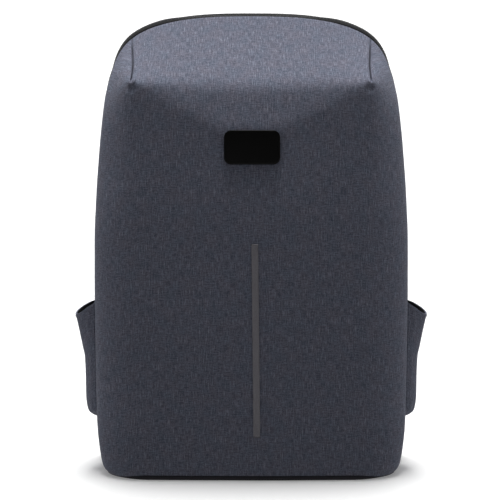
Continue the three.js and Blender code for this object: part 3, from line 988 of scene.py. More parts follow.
# Flat black bands, with ribs that show close up
CANVAS = WovenBlack("black canvas", "#1a1a1c", 0.85, rib=1.5)
WEBBING_WEAVE = WovenBlack("black webbing", "#19191b", 0.7, rib=2.2)
# A coating that lifts the black a little and dulls its ribs
BASE_CANVAS = WovenBlack("coated black canvas", "#2e2d33", 0.7, rib=1.6)
# Softer charcoal cloths that set the back apart from its black edges
BACK_CLOTH = WovenBlack("charcoal back cloth", "#303136", 0.85, rib=1.8)
MESH_CLOTH = AirMesh("charcoal air mesh", "#47484f", 0.95)
# A near-black face with a faint even shine
PLATE_GLOSS = MouldedPlastic("satin black ABS", "#030303", 0.42, grain_strength=0.04, specular=0.06)
# Hard black fittings with small soft highlights
BLACK_ACETAL = MouldedPlastic("moulded black acetal", "#141415", 0.45, grain_strength=0.15)
ZIP_NYLON = MouldedPlastic("nylon zip coil", "#121214", 0.4, grain=0.8, grain_strength=0.2)
# Fine glass beads, a flat warm grey in even light
TAPE = SpeckledFinish("reflective tape", "#646268", 0.5, metallic=0.1)
# Spun fibres, matt and a little uneven in tone
THREAD = SpeckledFinish("spun polyester thread", "#2b2c31", 0.8, grain=0.3, contrast=0.3)
GREY_THREAD = SpeckledFinish("grey polyester thread", "#7d808d", 0.8, grain=0.3, contrast=0.3)
STRAP_CLOTH = SpeckledFinish("charcoal strap cloth", "#2d2e33", 0.85, grain=1.0, contrast=0.35)


# Shapes shared by several pieces


def ring_shape(sides: int, squareness: float) -> Points:
    """A flattened ring of unit half sizes, from an ellipse at 1 to a square at 0.

    Args:
        sides: How many points it has, the first of them repeated as the last.
        squareness: The power that squares its corners.

    Returns:
        Points across and outwards.
    """
    angle = np.linspace(0, 2 * math.pi, sides + 1) - math.pi / 2
    ring = np.stack([np.cos(angle), np.sin(angle)], axis=1)
    return np.sign(ring) * np.abs(ring) ** squareness


def loft(
    name: str,
    middles: Points,
    across: Points,
    out: Points,
    widths: Any,
    thickness: Any,
    squareness: float,
) -> bpy.types.Object:
    """Skins flattened rings along a path into a closed band, strap or cord.

    Args:
        name: The object's name.
        middles: The rings' middles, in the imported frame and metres.
        across: Directions of the rings' widths.
        out: Directions of their thicknesses.
        widths: Millimetres across, one or one for each ring.
        thickness: Millimetres outwards, one or one for each ring.
        squareness: The rings' corners, from 1 for an ellipse to 0.

    Returns:
        The object, with its weave running along the path.
    """
    ring = ring_shape(RING_SIDES, squareness)
    half_width, half_thickness = (
        np.broadcast_to(np.asarray(size, dtype=float), len(middles))[:, None, None] * MM / 2
        for size in (widths, thickness)
    )
    sideways = across[:, None, :] * ring[None, :, :1] * half_width
    outwards = out[:, None, :] * ring[None, :, 1:] * half_thickness
    net = middles[:, None, :] + sideways + outwards
    along = np.broadcast_to(run_lengths(middles)[:, None], net.shape[:2])
    cloth = np.stack([along, run_lengths(net)], axis=-1) / MM
    index = numbered(net)
    faces = grid_faces(index).tolist() + [index[0, :-1].tolist(), index[-1, :-1].tolist()]
    return make_object(name, net, faces, cloth, closed=True)


def path_axes(middles: Points, out: Points) -> tuple[Points, Points]:
    """Finds axes across a path and out of it.

    Args:
        middles: Points of the path.
        out: A rough direction outwards, one or one for each point.

    Returns:
        The directions across and out, square to the path.
    """
    along = unit(np.gradient(middles, axis=0))
    across = unit(np.cross(along, out))
    return across, np.cross(across, along)


def rounded_outline(width: float, height: float, radius: float, steps: int = 8) -> Points:
    """Runs once round a rectangle with rounded corners.

    Args:
        width: Its size across.
        height: Its size upwards.
        radius: Its corners' radius.
        steps: How many points each corner has.

    Returns:
        Points across and upwards.
    """
    corners = []
    for turn, (x, y) in enumerate(((1, 1), (-1, 1), (-1, -1), (1, -1))):
        angle = np.linspace(0, math.pi / 2, steps) + turn * math.pi / 2
        middle = np.array([x * (width / 2 - radius), y * (height / 2 - radius)])
        corners.append(middle + radius * np.stack([np.cos(angle), np.sin(angle)], axis=1))
    return np.concatenate(corners)


class Layer(NamedTuple):
    """One outline of a bevelled slab: how far it is drawn in and how high it lies."""

    inset: float
    height: float


def bevelled_slab(
    name: str, outline: Points, layers: Sequence[Layer], middle: Points, axes: Sequence[Points]
) -> bpy.types.Object:
    """Stacks drawn-in outlines into a closed slab with a rounded edge.

    Args:
        name: The object's name.
        outline: The slab's outline in millimetres.
        layers: The outlines, from the back face to the front face.
        middle: The slab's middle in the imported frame, in metres.
        axes: Directions across, up and out of it.

    Returns:
        The object.
    """
    ahead, behind = np.roll(outline, -1, axis=0), np.roll(outline, 1, axis=0)
    along = unit(ahead - behind)
    inward = np.stack([-along[:, 1], along[:, 0]], axis=1)
    rings = []
    for layer in layers:
        flat = outline + inward * layer.inset
        spot = flat[:, :1] * axes[0] + flat[:, 1:] * axes[1] + layer.height * axes[2]
        rings.append(middle + spot * MM)
    net = np.stack(rings)
    index = numbered(net)
    faces = grid_faces(np.concatenate([index, index[:, :1]], axis=1)).tolist()
    return make_object(name, net, faces + [index[0].tolist(), index[-1].tolist()], closed=True)


@dataclass(frozen=True)
class BeadRow:
    """Small rounded beads at an even pitch along paths: stitches, or the coils of a zip."""

    pitch: float
    along: float
    across: float
    up: float

    def tree(self) -> bpy.types.NodeTree:
        """Builds the node tree that lays the beads, once.

        Returns:
            The tree, which has named inputs for a bead's sizes and material.
        """
        name = "bead_row"
        if name in bpy.data.node_groups:
            return bpy.data.node_groups[name]
        tree = bpy.data.node_groups.new(name, "GeometryNodeTree")
        tree.interface.new_socket("Geometry", in_out="INPUT", socket_type="NodeSocketGeometry")
        for size in ("Pitch", "Along", "Across", "Up"):
            tree.interface.new_socket(size, in_out="INPUT", socket_type="NodeSocketFloat")
        tree.interface.new_socket("Material", in_out="INPUT", socket_type="NodeSocketMaterial")
        tree.interface.new_socket("Geometry", in_out="OUTPUT", socket_type="NodeSocketGeometry")
        given = add_node(tree, "NodeGroupInput").outputs
        paths = {"Curve": given["Geometry"], "Length": given["Pitch"]}
        points = add_node(tree, "GeometryNodeCurveToPoints", paths, mode="LENGTH").outputs
        ball = {"Segments": 6, "Rings": 4, "Radius": 0.5}
        bead = add_node(tree, "GeometryNodeMeshUVSphere", ball).outputs["Mesh"]
        lie = {"Vector": points["Tangent"]}
        turn = add_node(tree, "FunctionNodeAlignRotationToVector", lie, axis="X").outputs["Rotation"]
        sizes = {"X": given["Along"], "Y": given["Across"], "Z": given["Up"]}
        scale = add_node(tree, "ShaderNodeCombineXYZ", sizes).outputs["Vector"]
        laid = {"Points": points["Points"], "Instance": bead, "Rotation": turn, "Scale": scale}
        beads = add_node(tree, "GeometryNodeInstanceOnPoints", laid).outputs["Instances"]
        real = add_node(tree, "GeometryNodeRealizeInstances", {"Geometry": beads}).outputs["Geometry"]
        smooth = add_node(tree, "GeometryNodeSetShadeSmooth", {"Geometry": real}).outputs["Geometry"]
        dressed = {"Geometry": smooth, "Material": given["Material"]}
        done = add_node(tree, "GeometryNodeSetMaterial", dressed).outputs["Geometry"]
        add_node(tree, "NodeGroupOutput", {"Geometry": done})
        return tree

    def lay(self, name: str, paths: Sequence[Points], finish: Finish) -> bpy.types.Object:
        """Lays beads along paths and makes them one plain mesh.

        Args:
            name: The object's name.
            paths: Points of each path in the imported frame, in metres.
            finish: What the beads are made of.

        Returns:
            The object.
        """
        curve = bpy.data.curves.new(name, "CURVE")
        curve.dimensions = "3D"
        for path in paths:
            spline = curve.splines.new("POLY")
            spline.points.add(len(path) - 1)
            flat = np.concatenate([path, np.ones((len(path), 1))], axis=1)
            spline.points.foreach_set("co", flat.ravel())
        guide = linked(f"{name}_guide", curve)
        modifier = guide.modifiers.new("beads", "NODES")
        modifier.node_group = self.tree()
        values = {
            "Pitch": self.pitch * MM,
            "Along": self.along * MM,
            "Across": self.across * MM,
            "Up": self.up * MM,
            "Material": finish.material(),
        }
        for socket in modifier.node_group.interface.items_tree:
            if socket.item_type == "SOCKET" and socket.in_out == "INPUT" and socket.name in values:
                modifier[socket.identifier] = values[socket.name]
        graph = bpy.context.evaluated_depsgraph_get()
        mesh = bpy.data.meshes.new_from_object(guide.evaluated_get(graph), depsgraph=graph)
        mesh.name = name
        bpy.data.objects.remove(guide)
        bpy.data.curves.remove(curve)
        return linked(name, mesh)


LOCK_STITCH = BeadRow(pitch=3.6, along=2.7, across=0.7, up=0.6)


@dataclass(frozen=True)
class Puff:
    """Swells a padded piece with a cloth simulation, held where it is sewn down."""

    voxel: float = 5.0
    pressure: float = 4.0
    reach: float = 5.0
    frames: int = 20
    mass: float = 0.3
    quality: int = 5

    def swell(self, piece: bpy.types.Object, held: Any) -> None:
        """Remeshes a closed piece, blows it up, and keeps the result as its plain mesh.

        Args:
            piece: The closed piece, a little smaller than it should become.
            held: Tells from places in metres which of them are sewn down.
        """
        remesh = piece.modifiers.new("even", "REMESH")
        remesh.mode = "VOXEL"
        remesh.voxel_size = self.voxel * MM
        remesh.use_smooth_shade = True
        bake(piece)
        start = vertex_places(piece)
        sewn = piece.vertex_groups.new(name="sewn")
        sewn.add([int(i) for i in np.flatnonzero(held(start))], 1.0, "REPLACE")
        cloth = piece.modifiers.new("cloth", "CLOTH")
        cloth.settings.quality = self.quality
        cloth.settings.mass = self.mass
        cloth.settings.use_pressure = True
        cloth.settings.uniform_pressure_force = self.pressure
        cloth.settings.vertex_group_mass = sewn.name
        cloth.settings.effector_weights.gravity = 0.0
        cloth.point_cache.frame_start = 1
        cloth.point_cache.frame_end = self.frames
        scene = bpy.context.scene
        for frame in range(1, self.frames + 1):
            scene.frame_set(frame)
        bake(piece)
        moved = vertex_places(piece) - start
        far = np.linalg.norm(moved, axis=1, keepdims=True)
        kept = moved * np.minimum(1.0, self.reach * MM / np.maximum(far, 1e-9))
        piece.data.vertices.foreach_set("co", (start + kept).ravel())
        piece.data.update()
        scene.frame_set(1)


# Sub-assemblies


class Assembly:
    """Dresses pieces and hangs them on the bag's body."""

    @staticmethod
    def dress(piece: bpy.types.Object, *finishes: Finish) -> None:
        """Gives a piece its finishes, in the order of its material slots.

        Args:
            piece: The object.
            *finishes: What it is made of.
        """
        piece.data.materials.clear()
        for finish in finishes:
            piece.data.materials.append(finish.material())

    @staticmethod
    def keep(piece: bpy.types.Object, slot: str, *nodes: str) -> bpy.types.Object:
        """Makes a piece ride on the bag and hides the solids that it stands for.

        Args:
            piece: The finished object.
            slot: Not used.
            *nodes: The solids that it replaces.

        Returns:
            The same object.
        """
        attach(piece, BODY)
        if nodes:
            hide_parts(*nodes)
        LOG.info("%s: %d faces", piece.name, len(piece.data.polygons))
        return piece


@dataclass
class Shell(Assembly):
    """The melange cloth body: front, sides and sloping top as one wall."""

    form: BagForm
    wall: float = 2.0
    side_steps: int = 9

    @staticmethod
    def columns() -> np.ndarray:
        """Spaces the net's columns, crowded at the darts and the upright corners.

        Returns:
            Signed places, from -2 at the left side to 2 at the right one.
        """
        beside_dart = 0.18
        front = spaced([(0.93, 46), (1.0, 26), (1 + beside_dart, 16)])[1:]
        corner = np.sin(np.linspace(0, math.pi / 2, 23)[1:])
        half = np.concatenate([front, 1 + beside_dart + (1 - beside_dart) * corner])
        return np.concatenate([-half[::-1], [0.0], half])

    @staticmethod
    def rows() -> np.ndarray:
        """Rows of the net, crowded round the crease."""
        return spaced([(9, 6), (40, 9), (300, 60), (336, 14), (372, 40), (400, 24)])

    def build(self) -> bpy.types.Object:
        """Builds the front and top as one net and folds its edge back to the gusset.

        Returns:
            The shell.
        """
        columns, rows = self.columns(), self.rows()
        x, z, width = self.form.net(columns[None, :], rows[:, None])
        front = np.stack([x, -self.form.front_depth(x, z, width), z], axis=-1)
        cloth = net_cloth(front)
        cloth[..., 0] -= cloth[:, len(columns) // 2, 0][:, None]
        index = numbered(front)
        edge = np.concatenate([index[:, 0], index[-1, 1:-1], index[::-1, -1]])
        points, cloth = front.reshape(-1, 3), cloth.reshape(-1, 2)
        lie = np.zeros((len(edge), 2))
        lie[: len(rows), 0], lie[-len(rows) :, 0] = -1.0, 1.0
        lie[len(rows) : -len(rows), 1] = 1.0
        strips, nets, cloths = [points], [edge], [cloth]
        for step in range(1, self.side_steps + 1):
            moved = points[edge].copy()
            back = (-self.form.gusset_depth(moved[:, 0]) - moved[:, 1]) * step / self.side_steps
            moved[:, 1] += back
            nets.append(len(points) + (step - 1) * len(edge) + np.arange(len(edge)))
            strips.append(moved)
            cloths.append(cloth[edge] + lie * back[:, None])
        faces = np.concatenate([grid_faces(index), grid_faces(np.stack(nets))])
        placed = self.form.place(np.concatenate(strips))
        shell = make_object("shell_cloth", placed, faces, np.concatenate(cloths))
        self.dress(shell, SHELL_CLOTH)
        thicken(shell, self.wall, NEAR_BLACK_INSIDE)
        return self.keep(shell, "shell_cloth", "main_shell")


class SwellAt(NamedTuple):
    """How far the gusset swells out at a place across the crown."""

    x: float
    swell: float


@dataclass
class Gusset(Assembly):
    """The black band behind the shell, swelling a little under its coil zip."""

    form: BagForm
    wall: float = 1.6
    steps: int = 28
    tape: float = 0.23
    tape_ridge: float = 0.45
    tape_spread: float = 0.035
    chain_foot: float = 83.3
    coil: BeadRow = BeadRow(pitch=1.9, along=1.5, across=3.4, up=1.2)
    coil_apart: float = 2.6
    coil_lift: float = 0.05
    stitch_lift: float = 0.1
    stitched: tuple[float, float] = (0.13, 0.87)
    tuck: float = 0.2

    swell: ClassVar[tuple[SwellAt, ...]] = (
        SwellAt(0, 0.5),
        SwellAt(30, 0.6),
        SwellAt(60, 1.3),
        SwellAt(75, 2.6),
        SwellAt(90, 3.4),
        SwellAt(110, 3.4),
        SwellAt(121, 3.1),
        SwellAt(128, 2.2),
        SwellAt(135, 1.4),
        SwellAt(142, 0.8),
    )

    def outline(self) -> tuple[Points, Points, Points]:
        """Runs along the rear outline.

        Returns:
            Its places and heights, its outward directions, and how far the band swells there.
        """
        loop = self.form.outline(Shell.columns()[::2], Shell.rows()[::2])
        along = np.gradient(loop, axis=0)
        outward = unit(np.stack([-along[:, 1], along[:, 0]], axis=1))
        return loop, outward, read_table(self.swell, "x", "swell", np.abs(loop[:, 0]))

    def depth_at(self, x: Any, share: Any, rear: float) -> Any:
        """Where the band lies at a share of its depth, if its rear edge lies at a given place."""
        return -(self.form.gusset_depth(x) - SEAM_GAP) * (1 - share) + rear * share

    @staticmethod
    def fullness(share: Any) -> Any:
        """The share of its swell that the band has at a share of its depth."""
        return 1 - (2 * share - 1) ** 6

    def band(self) -> bpy.types.Object:
        """Builds the band itself, with the raised edges of the zip's tapes.

        Returns:
            The band.
        """
        loop, outward, swell = self.outline()
        share = np.linspace(0, 1, self.steps + 1)[:, None]
        lift = swell * self.fullness(share)
        for edge in (-self.tape, self.tape):
            lift = lift + self.tape_ridge * bump(share - 0.5 - edge, self.tape_spread)
        depth = self.depth_at(loop[:, 0], share, self.tuck)
        x, z = (loop[:, axis] + outward[:, axis] * lift for axis in (0, 1))
        cloth = np.stack([np.broadcast_to(run_lengths(loop), x.shape), depth], axis=-1)
        net = np.stack([x, depth, z], axis=-1)
        band = make_object("gusset_band", self.form.place(net), grid_faces(numbered(net)), cloth)
        self.dress(band, CANVAS)
        thicken(band, self.wall)
        return self.keep(band, "black_cloth", "zip_gusset")

    def zip_paths(self) -> list[Points]:
        """Runs along the closed zip's two rows, each half a pitch on from the other.

        Returns:
            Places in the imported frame, for each row.
        """
        loop, outward, swell = self.outline()
        run = loop[:, 1] >= self.chain_foot
        lifted = loop + outward * (swell + self.coil_lift)[:, None]
        middle = -self.form.gusset_depth(loop[:, 0]) / 2
        rows = []
        for side in (-0.5, 0.5):
            row = np.stack([lifted[:, 0], middle + side * self.coil_apart, lifted[:, 1]], axis=1)[run]
            step = unit(row[1:2] - row[:1]) * self.coil.pitch * (0.25 + side / 2)
            row[0] += step[0]
            rows.append(self.form.place(row))
        return rows

    def stitch_paths(self) -> list[Points]:
        """Runs along both seams of the band, for their stitching.

        Returns:
            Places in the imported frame, for each seam.
        """
        loop, outward, swell = self.outline()
        paths = []
        for share in self.stitched:
            lift = swell * self.fullness(share) + self.stitch_lift
            depth = self.depth_at(loop[:, 0], share, -SEAM_GAP)
            lifted = loop + outward * lift[:, None]
            path = np.stack([lifted[:, 0], depth, lifted[:, 1]], axis=1)
            paths.append(self.form.place(path[lifted[:, 1] > LOCK_STITCH.along]))
        return paths

    def build(self) -> None:
        """Builds the band, its zip and its stitching."""
        self.band()
        self.keep(self.coil.lay("zip_coil", self.zip_paths(), ZIP_NYLON), "matt_plastic", "zip_chain")
        self.keep(LOCK_STITCH.lay("gusset_stitches", self.stitch_paths(), THREAD), "black_cloth")


@dataclass
class ZipSlider(Assembly):
    """The zip's slider at the chain's right foot, with its pull hanging."""

    width: float = 9.0
    length: float = 10.0
    radius: float = 2.6
    overlap: float = 1.0
    pull_width: float = 6.0
    pull_radius: float = 2.8
    pull_lift: float = 0.7
    pull_edge: float = 0.7
    pull_thinness: float = 0.55

    layers: ClassVar[tuple[Layer, ...]] = (
        Layer(0.7, -1.2),
        Layer(0.1, -0.8),
        Layer(0.0, 0.3),
        Layer(0.25, 0.9),
        Layer(0.8, 1.2),
    )

    def build(self) -> None:
        """Builds the slider's body and its pull where their solid is."""
        low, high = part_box("zip_slider")
        middle = np.array((low + high) / 2)
        top, foot = high.z / MM, low.z / MM
        pull_top = top - self.length + self.overlap
        body = rounded_outline(self.width, self.length, self.radius)
        pull = rounded_outline(self.pull_width, pull_top - foot, self.pull_radius)
        edge, thinness = self.pull_edge, self.pull_thinness
        thin = [Layer(layer.inset * edge, layer.height * thinness) for layer in self.layers]
        for name, outline, layers, height, lift in (
            ("zip_slider_body", body, self.layers, top - self.length / 2, 0.0),
            ("zip_pull", pull, thin, (pull_top + foot) / 2, self.pull_lift),
        ):
            centre = np.array([middle[0] + lift * MM, middle[1], height * MM])
            shape = bevelled_slab(name, outline, layers, centre, (BACKWARD, UPWARD, ACROSS))
            self.dress(shape, BLACK_ACETAL)
            self.keep(shape, "matt_plastic", "zip_slider")


class RollAt(NamedTuple):
    """A point of a rolled edge: how far in it lies, and its share of the height."""

    inset: float
    share: float


@dataclass
class Base(Assembly):
    """The coated black panel under the bag, showing as a dark crescent below the cloth."""

    form: BagForm
    edge_inset: float = 0.5
    under_back: float = 8.0
    rear_corner: float = 24.0
    rear_round: float = 11.0

    rolled: ClassVar[tuple[RollAt, ...]] = (
        RollAt(0.5, 0.0),
        RollAt(0.1, 0.15),
        RollAt(0.0, 0.5),
        RollAt(0.15, 0.85),
        RollAt(0.8, 1.0),
    )

    def build(self) -> bpy.types.Object:
        """Builds a closed slab with rolled edges and rounded rear corners.

        Returns:
            The panel.
        """
        columns = Shell.columns()[1:-1:2]
        x, z, width = self.form.net(columns, 0.0)
        front = self.edge_inset - self.form.front_depth(x, z, width)
        height = self.form.base_height(x)
        near_side = 1 - (width - np.abs(x)) / self.rear_corner
        rear = self.under_back - self.rear_round * round_off(near_side)
        profile = [(front + inset, share * height) for inset, share in self.rolled]
        profile += [(rear - inset, share * height) for inset, share in reversed(self.rolled)]
        profile += [profile[0]]
        net = np.stack([np.stack([x, depth, up], axis=-1) for depth, up in profile], axis=1)
        cloth = np.stack([np.broadcast_to(x[:, None], net.shape[:2]), run_lengths(net)], axis=-1)
        index = numbered(net)
        faces = grid_faces(index).tolist() + [index[0, :-1].tolist(), index[-1, :-1].tolist()]
        base = make_object("base_panel_cloth", self.form.place(net), faces, cloth, closed=True)
        self.dress(base, BASE_CANVAS)
        return self.keep(base, "black_cloth", "base_panel")


@dataclass
class FrontPlate(Assembly):
    """A bare gloss plate with rounded corners and a soft edge."""

    width: float = 54.0
    height: float = 33.0
    radius: float = 7.0
    lean: float = 6.0

    layers: ClassVar[tuple[Layer, ...]] = (
        Layer(0.9, -1.9),
        Layer(0.15, -1.3),
        Layer(0.0, -0.8),
        Layer(0.0, 0.7),
        Layer(0.1, 1.2),
        Layer(0.4, 1.6),
        Layer(0.9, 1.83),
        Layer(1.6, 1.9),
    )

    def build(self) -> bpy.types.Object:
        """Builds the plate where its solid is.

        Returns:
            The plate.
        """
        low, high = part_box("front_plate")
        lean = math.radians(self.lean)
        up = math.sin(lean) * BACKWARD + math.cos(lean) * UPWARD
        axes = (ACROSS, up, np.cross(ACROSS, up))
        outline = rounded_outline(self.width, self.height, self.radius)
        plate = bevelled_slab("blank_plate", outline, self.layers, np.array((low + high) / 2), axes)
        self.dress(plate, PLATE_GLOSS)
        return self.keep(plate, "gloss_plate", "front_plate")


@dataclass
class ReflectiveStrip(Assembly):
    """A narrow strip of reflective tape welded down the front."""

    form: BagForm
    top_x: float = 3.4
    top: float = 235.0
    bottom_x: float = 5.4
    bottom: float = 44.6
    width: float = 6.6
    thickness: float = 0.8
    lift: float = 0.15

    def build(self) -> bpy.types.Object:
        """Lays the tape on the cloth.

        Returns:
            The tape.
        """
        share = np.linspace(0, 1, 90)
        x = self.bottom_x + (self.top_x - self.bottom_x) * share
        z = self.bottom + (self.top - self.bottom) * share
        depth = self.form.front_depth(x, z, self.form.half_width(z))
        middles = self.form.place(np.stack([x, -depth - self.lift - self.thickness / 2, z], axis=1))
        across, out = path_axes(middles, -BACKWARD)
        strip = loft("reflective_tape", middles, across, out, self.width, self.thickness, squareness=0.2)
        self.dress(strip, TAPE)
        return self.keep(strip, "reflective_tape", "reflective_strip")


class Side(Enum):
    """Which side of the bag a paired piece is on, seen from the front."""

    LEFT = -1
    RIGHT = 1

    @property
    def word(self) -> str:
        """The side's plain name."""
        return self.name.lower()

    def turn(self, points: Points) -> Points:
        """Points or directions made for the right, brought to this side."""
        return np.asarray(points, dtype=float) * (self.value, 1, 1)


class StandoffAt(NamedTuple):
    """How far a pocket stands off the side at a height."""

    height: float
    standoff: float


@dataclass
class SidePocket(Assembly):
    """A pouch sewn to the side, gaping at its mouth, with a turned hem."""

    form: BagForm
    side: Side
    front: float = 79.0
    back: float = 30.0
    wall: float = 1.6
    foot: float = 52.2
    foot_rise: float = 8.0
    mouth: float = 155.5
    mouth_rise_front: float = 15.0
    mouth_rise_back: float = 10.5
    mouth_power_front: float = 1.35
    mouth_power_back: float = 0.65
    plan_power: float = 1.6
    plan_ease: float = 0.12
    hem: float = 4.0
    hem_rise: float = 0.2
    stitch_above_hem: float = 1.5
    stitch_lift: float = 0.5
    seam_wall: float = 0.1
    seam_plan: float = 0.35
    seam_height: float = 5.0

    profile: ClassVar[tuple[StandoffAt, ...]] = (
        StandoffAt(52.2, 0),
        StandoffAt(54.2, 4.5),
        StandoffAt(60.5, 8.4),
        StandoffAt(72, 9.6),
        StandoffAt(95, 9.4),
        StandoffAt(112, 9.8),
        StandoffAt(124, 12.0),
        StandoffAt(140, 15.0),
        StandoffAt(155.5, 18.2),
    )

    def plan(self, share: Any) -> Any:
        """How far the pouch stands out across its depth, from 0 at its seams to 1 at its middle."""
        off = np.hypot(2 * share - 1, self.plan_ease) - self.plan_ease
        return 1 - (off / (math.hypot(1, self.plan_ease) - self.plan_ease)) ** self.plan_power

    def fullness(self, share: Any, row: Any) -> Any:
        """Thins the wall towards the seams.

        Args:
            share: Shares of the pouch's depth.
            row: Heights of its profile.

        Returns:
            Shares of the wall's thickness.
        """
        foot = smoothstep(self.foot, self.foot + self.seam_height, row)
        sewn = smoothstep(0, self.seam_plan, self.plan(share)) * foot
        return self.seam_wall + (1 - self.seam_wall) * sewn

    def points(self, share: Any, row: Any, lift: float = 0.0) -> Points:
        """Finds places on the pouch.

        Args:
            share: Shares of its depth, from its front seam.
            row: Heights of its profile.
            lift: How far above the cloth they lie.

        Returns:
            The places, in the drawing frame.
        """
        plan = self.plan(share)
        foot = self.foot + self.foot_rise * (1 - plan)
        rise = np.where(share < 0.5, self.mouth_rise_front, self.mouth_rise_back)
        power = np.where(share < 0.5, self.mouth_power_front, self.mouth_power_back)
        rim = self.mouth + rise * (1 - plan) ** power
        z = foot + (rim - foot) * (row - self.foot) / (self.mouth - self.foot)
        hem = self.hem_rise * smoothstep(self.mouth - self.hem - 1, self.mouth - self.hem, row)
        standoff = (read_table(self.profile, "height", "standoff", row) + hem) * plan
        wall = (SEAM_GAP + self.wall) * self.fullness(share, row)
        depth = np.broadcast_to(self.front + (self.back - self.front) * share, z.shape)
        x = self.form.side_at(depth, z) + wall + standoff + lift
        return self.side.turn(np.stack([x, -depth, z], axis=-1))

    def build(self) -> None:
        """Builds the pouch as a net from its front seam to its rear one, and stitches its hem."""
        share = np.linspace(0, 1, 49)[None, :]
        row = spaced([(57, 8), (72, 10), (143, 26), (self.mouth, 18)], self.foot)[:, None]
        net = self.points(share, row)
        index = numbered(net)
        if self.side is Side.LEFT:
            index = index[:, ::-1]
        name = f"pocket_{self.side.word}"
        pocket = make_object(name, self.form.place(net), grid_faces(index), net_cloth(net))
        self.dress(pocket, SHELL_CLOTH)
        thicken(pocket, self.wall, NEAR_BLACK_INSIDE)
        full = pocket.vertex_groups.new(name="full")
        for i, weight in enumerate(self.fullness(share, row).ravel()):
            full.add([i], float(weight), "REPLACE")
        pocket.modifiers["wall"].vertex_group = full.name
        self.keep(pocket, "shell_cloth", f"side_pocket_{self.side.word}")
        share = np.linspace(0.02, 0.98, 60)
        row = np.full_like(share, self.mouth - self.hem + self.stitch_above_hem)
        hem = self.points(share, row, self.stitch_lift)
        stitches = LOCK_STITCH.lay(f"{name}_stitches", [self.form.place(hem)], GREY_THREAD)
        self.keep(stitches, "shell_cloth")


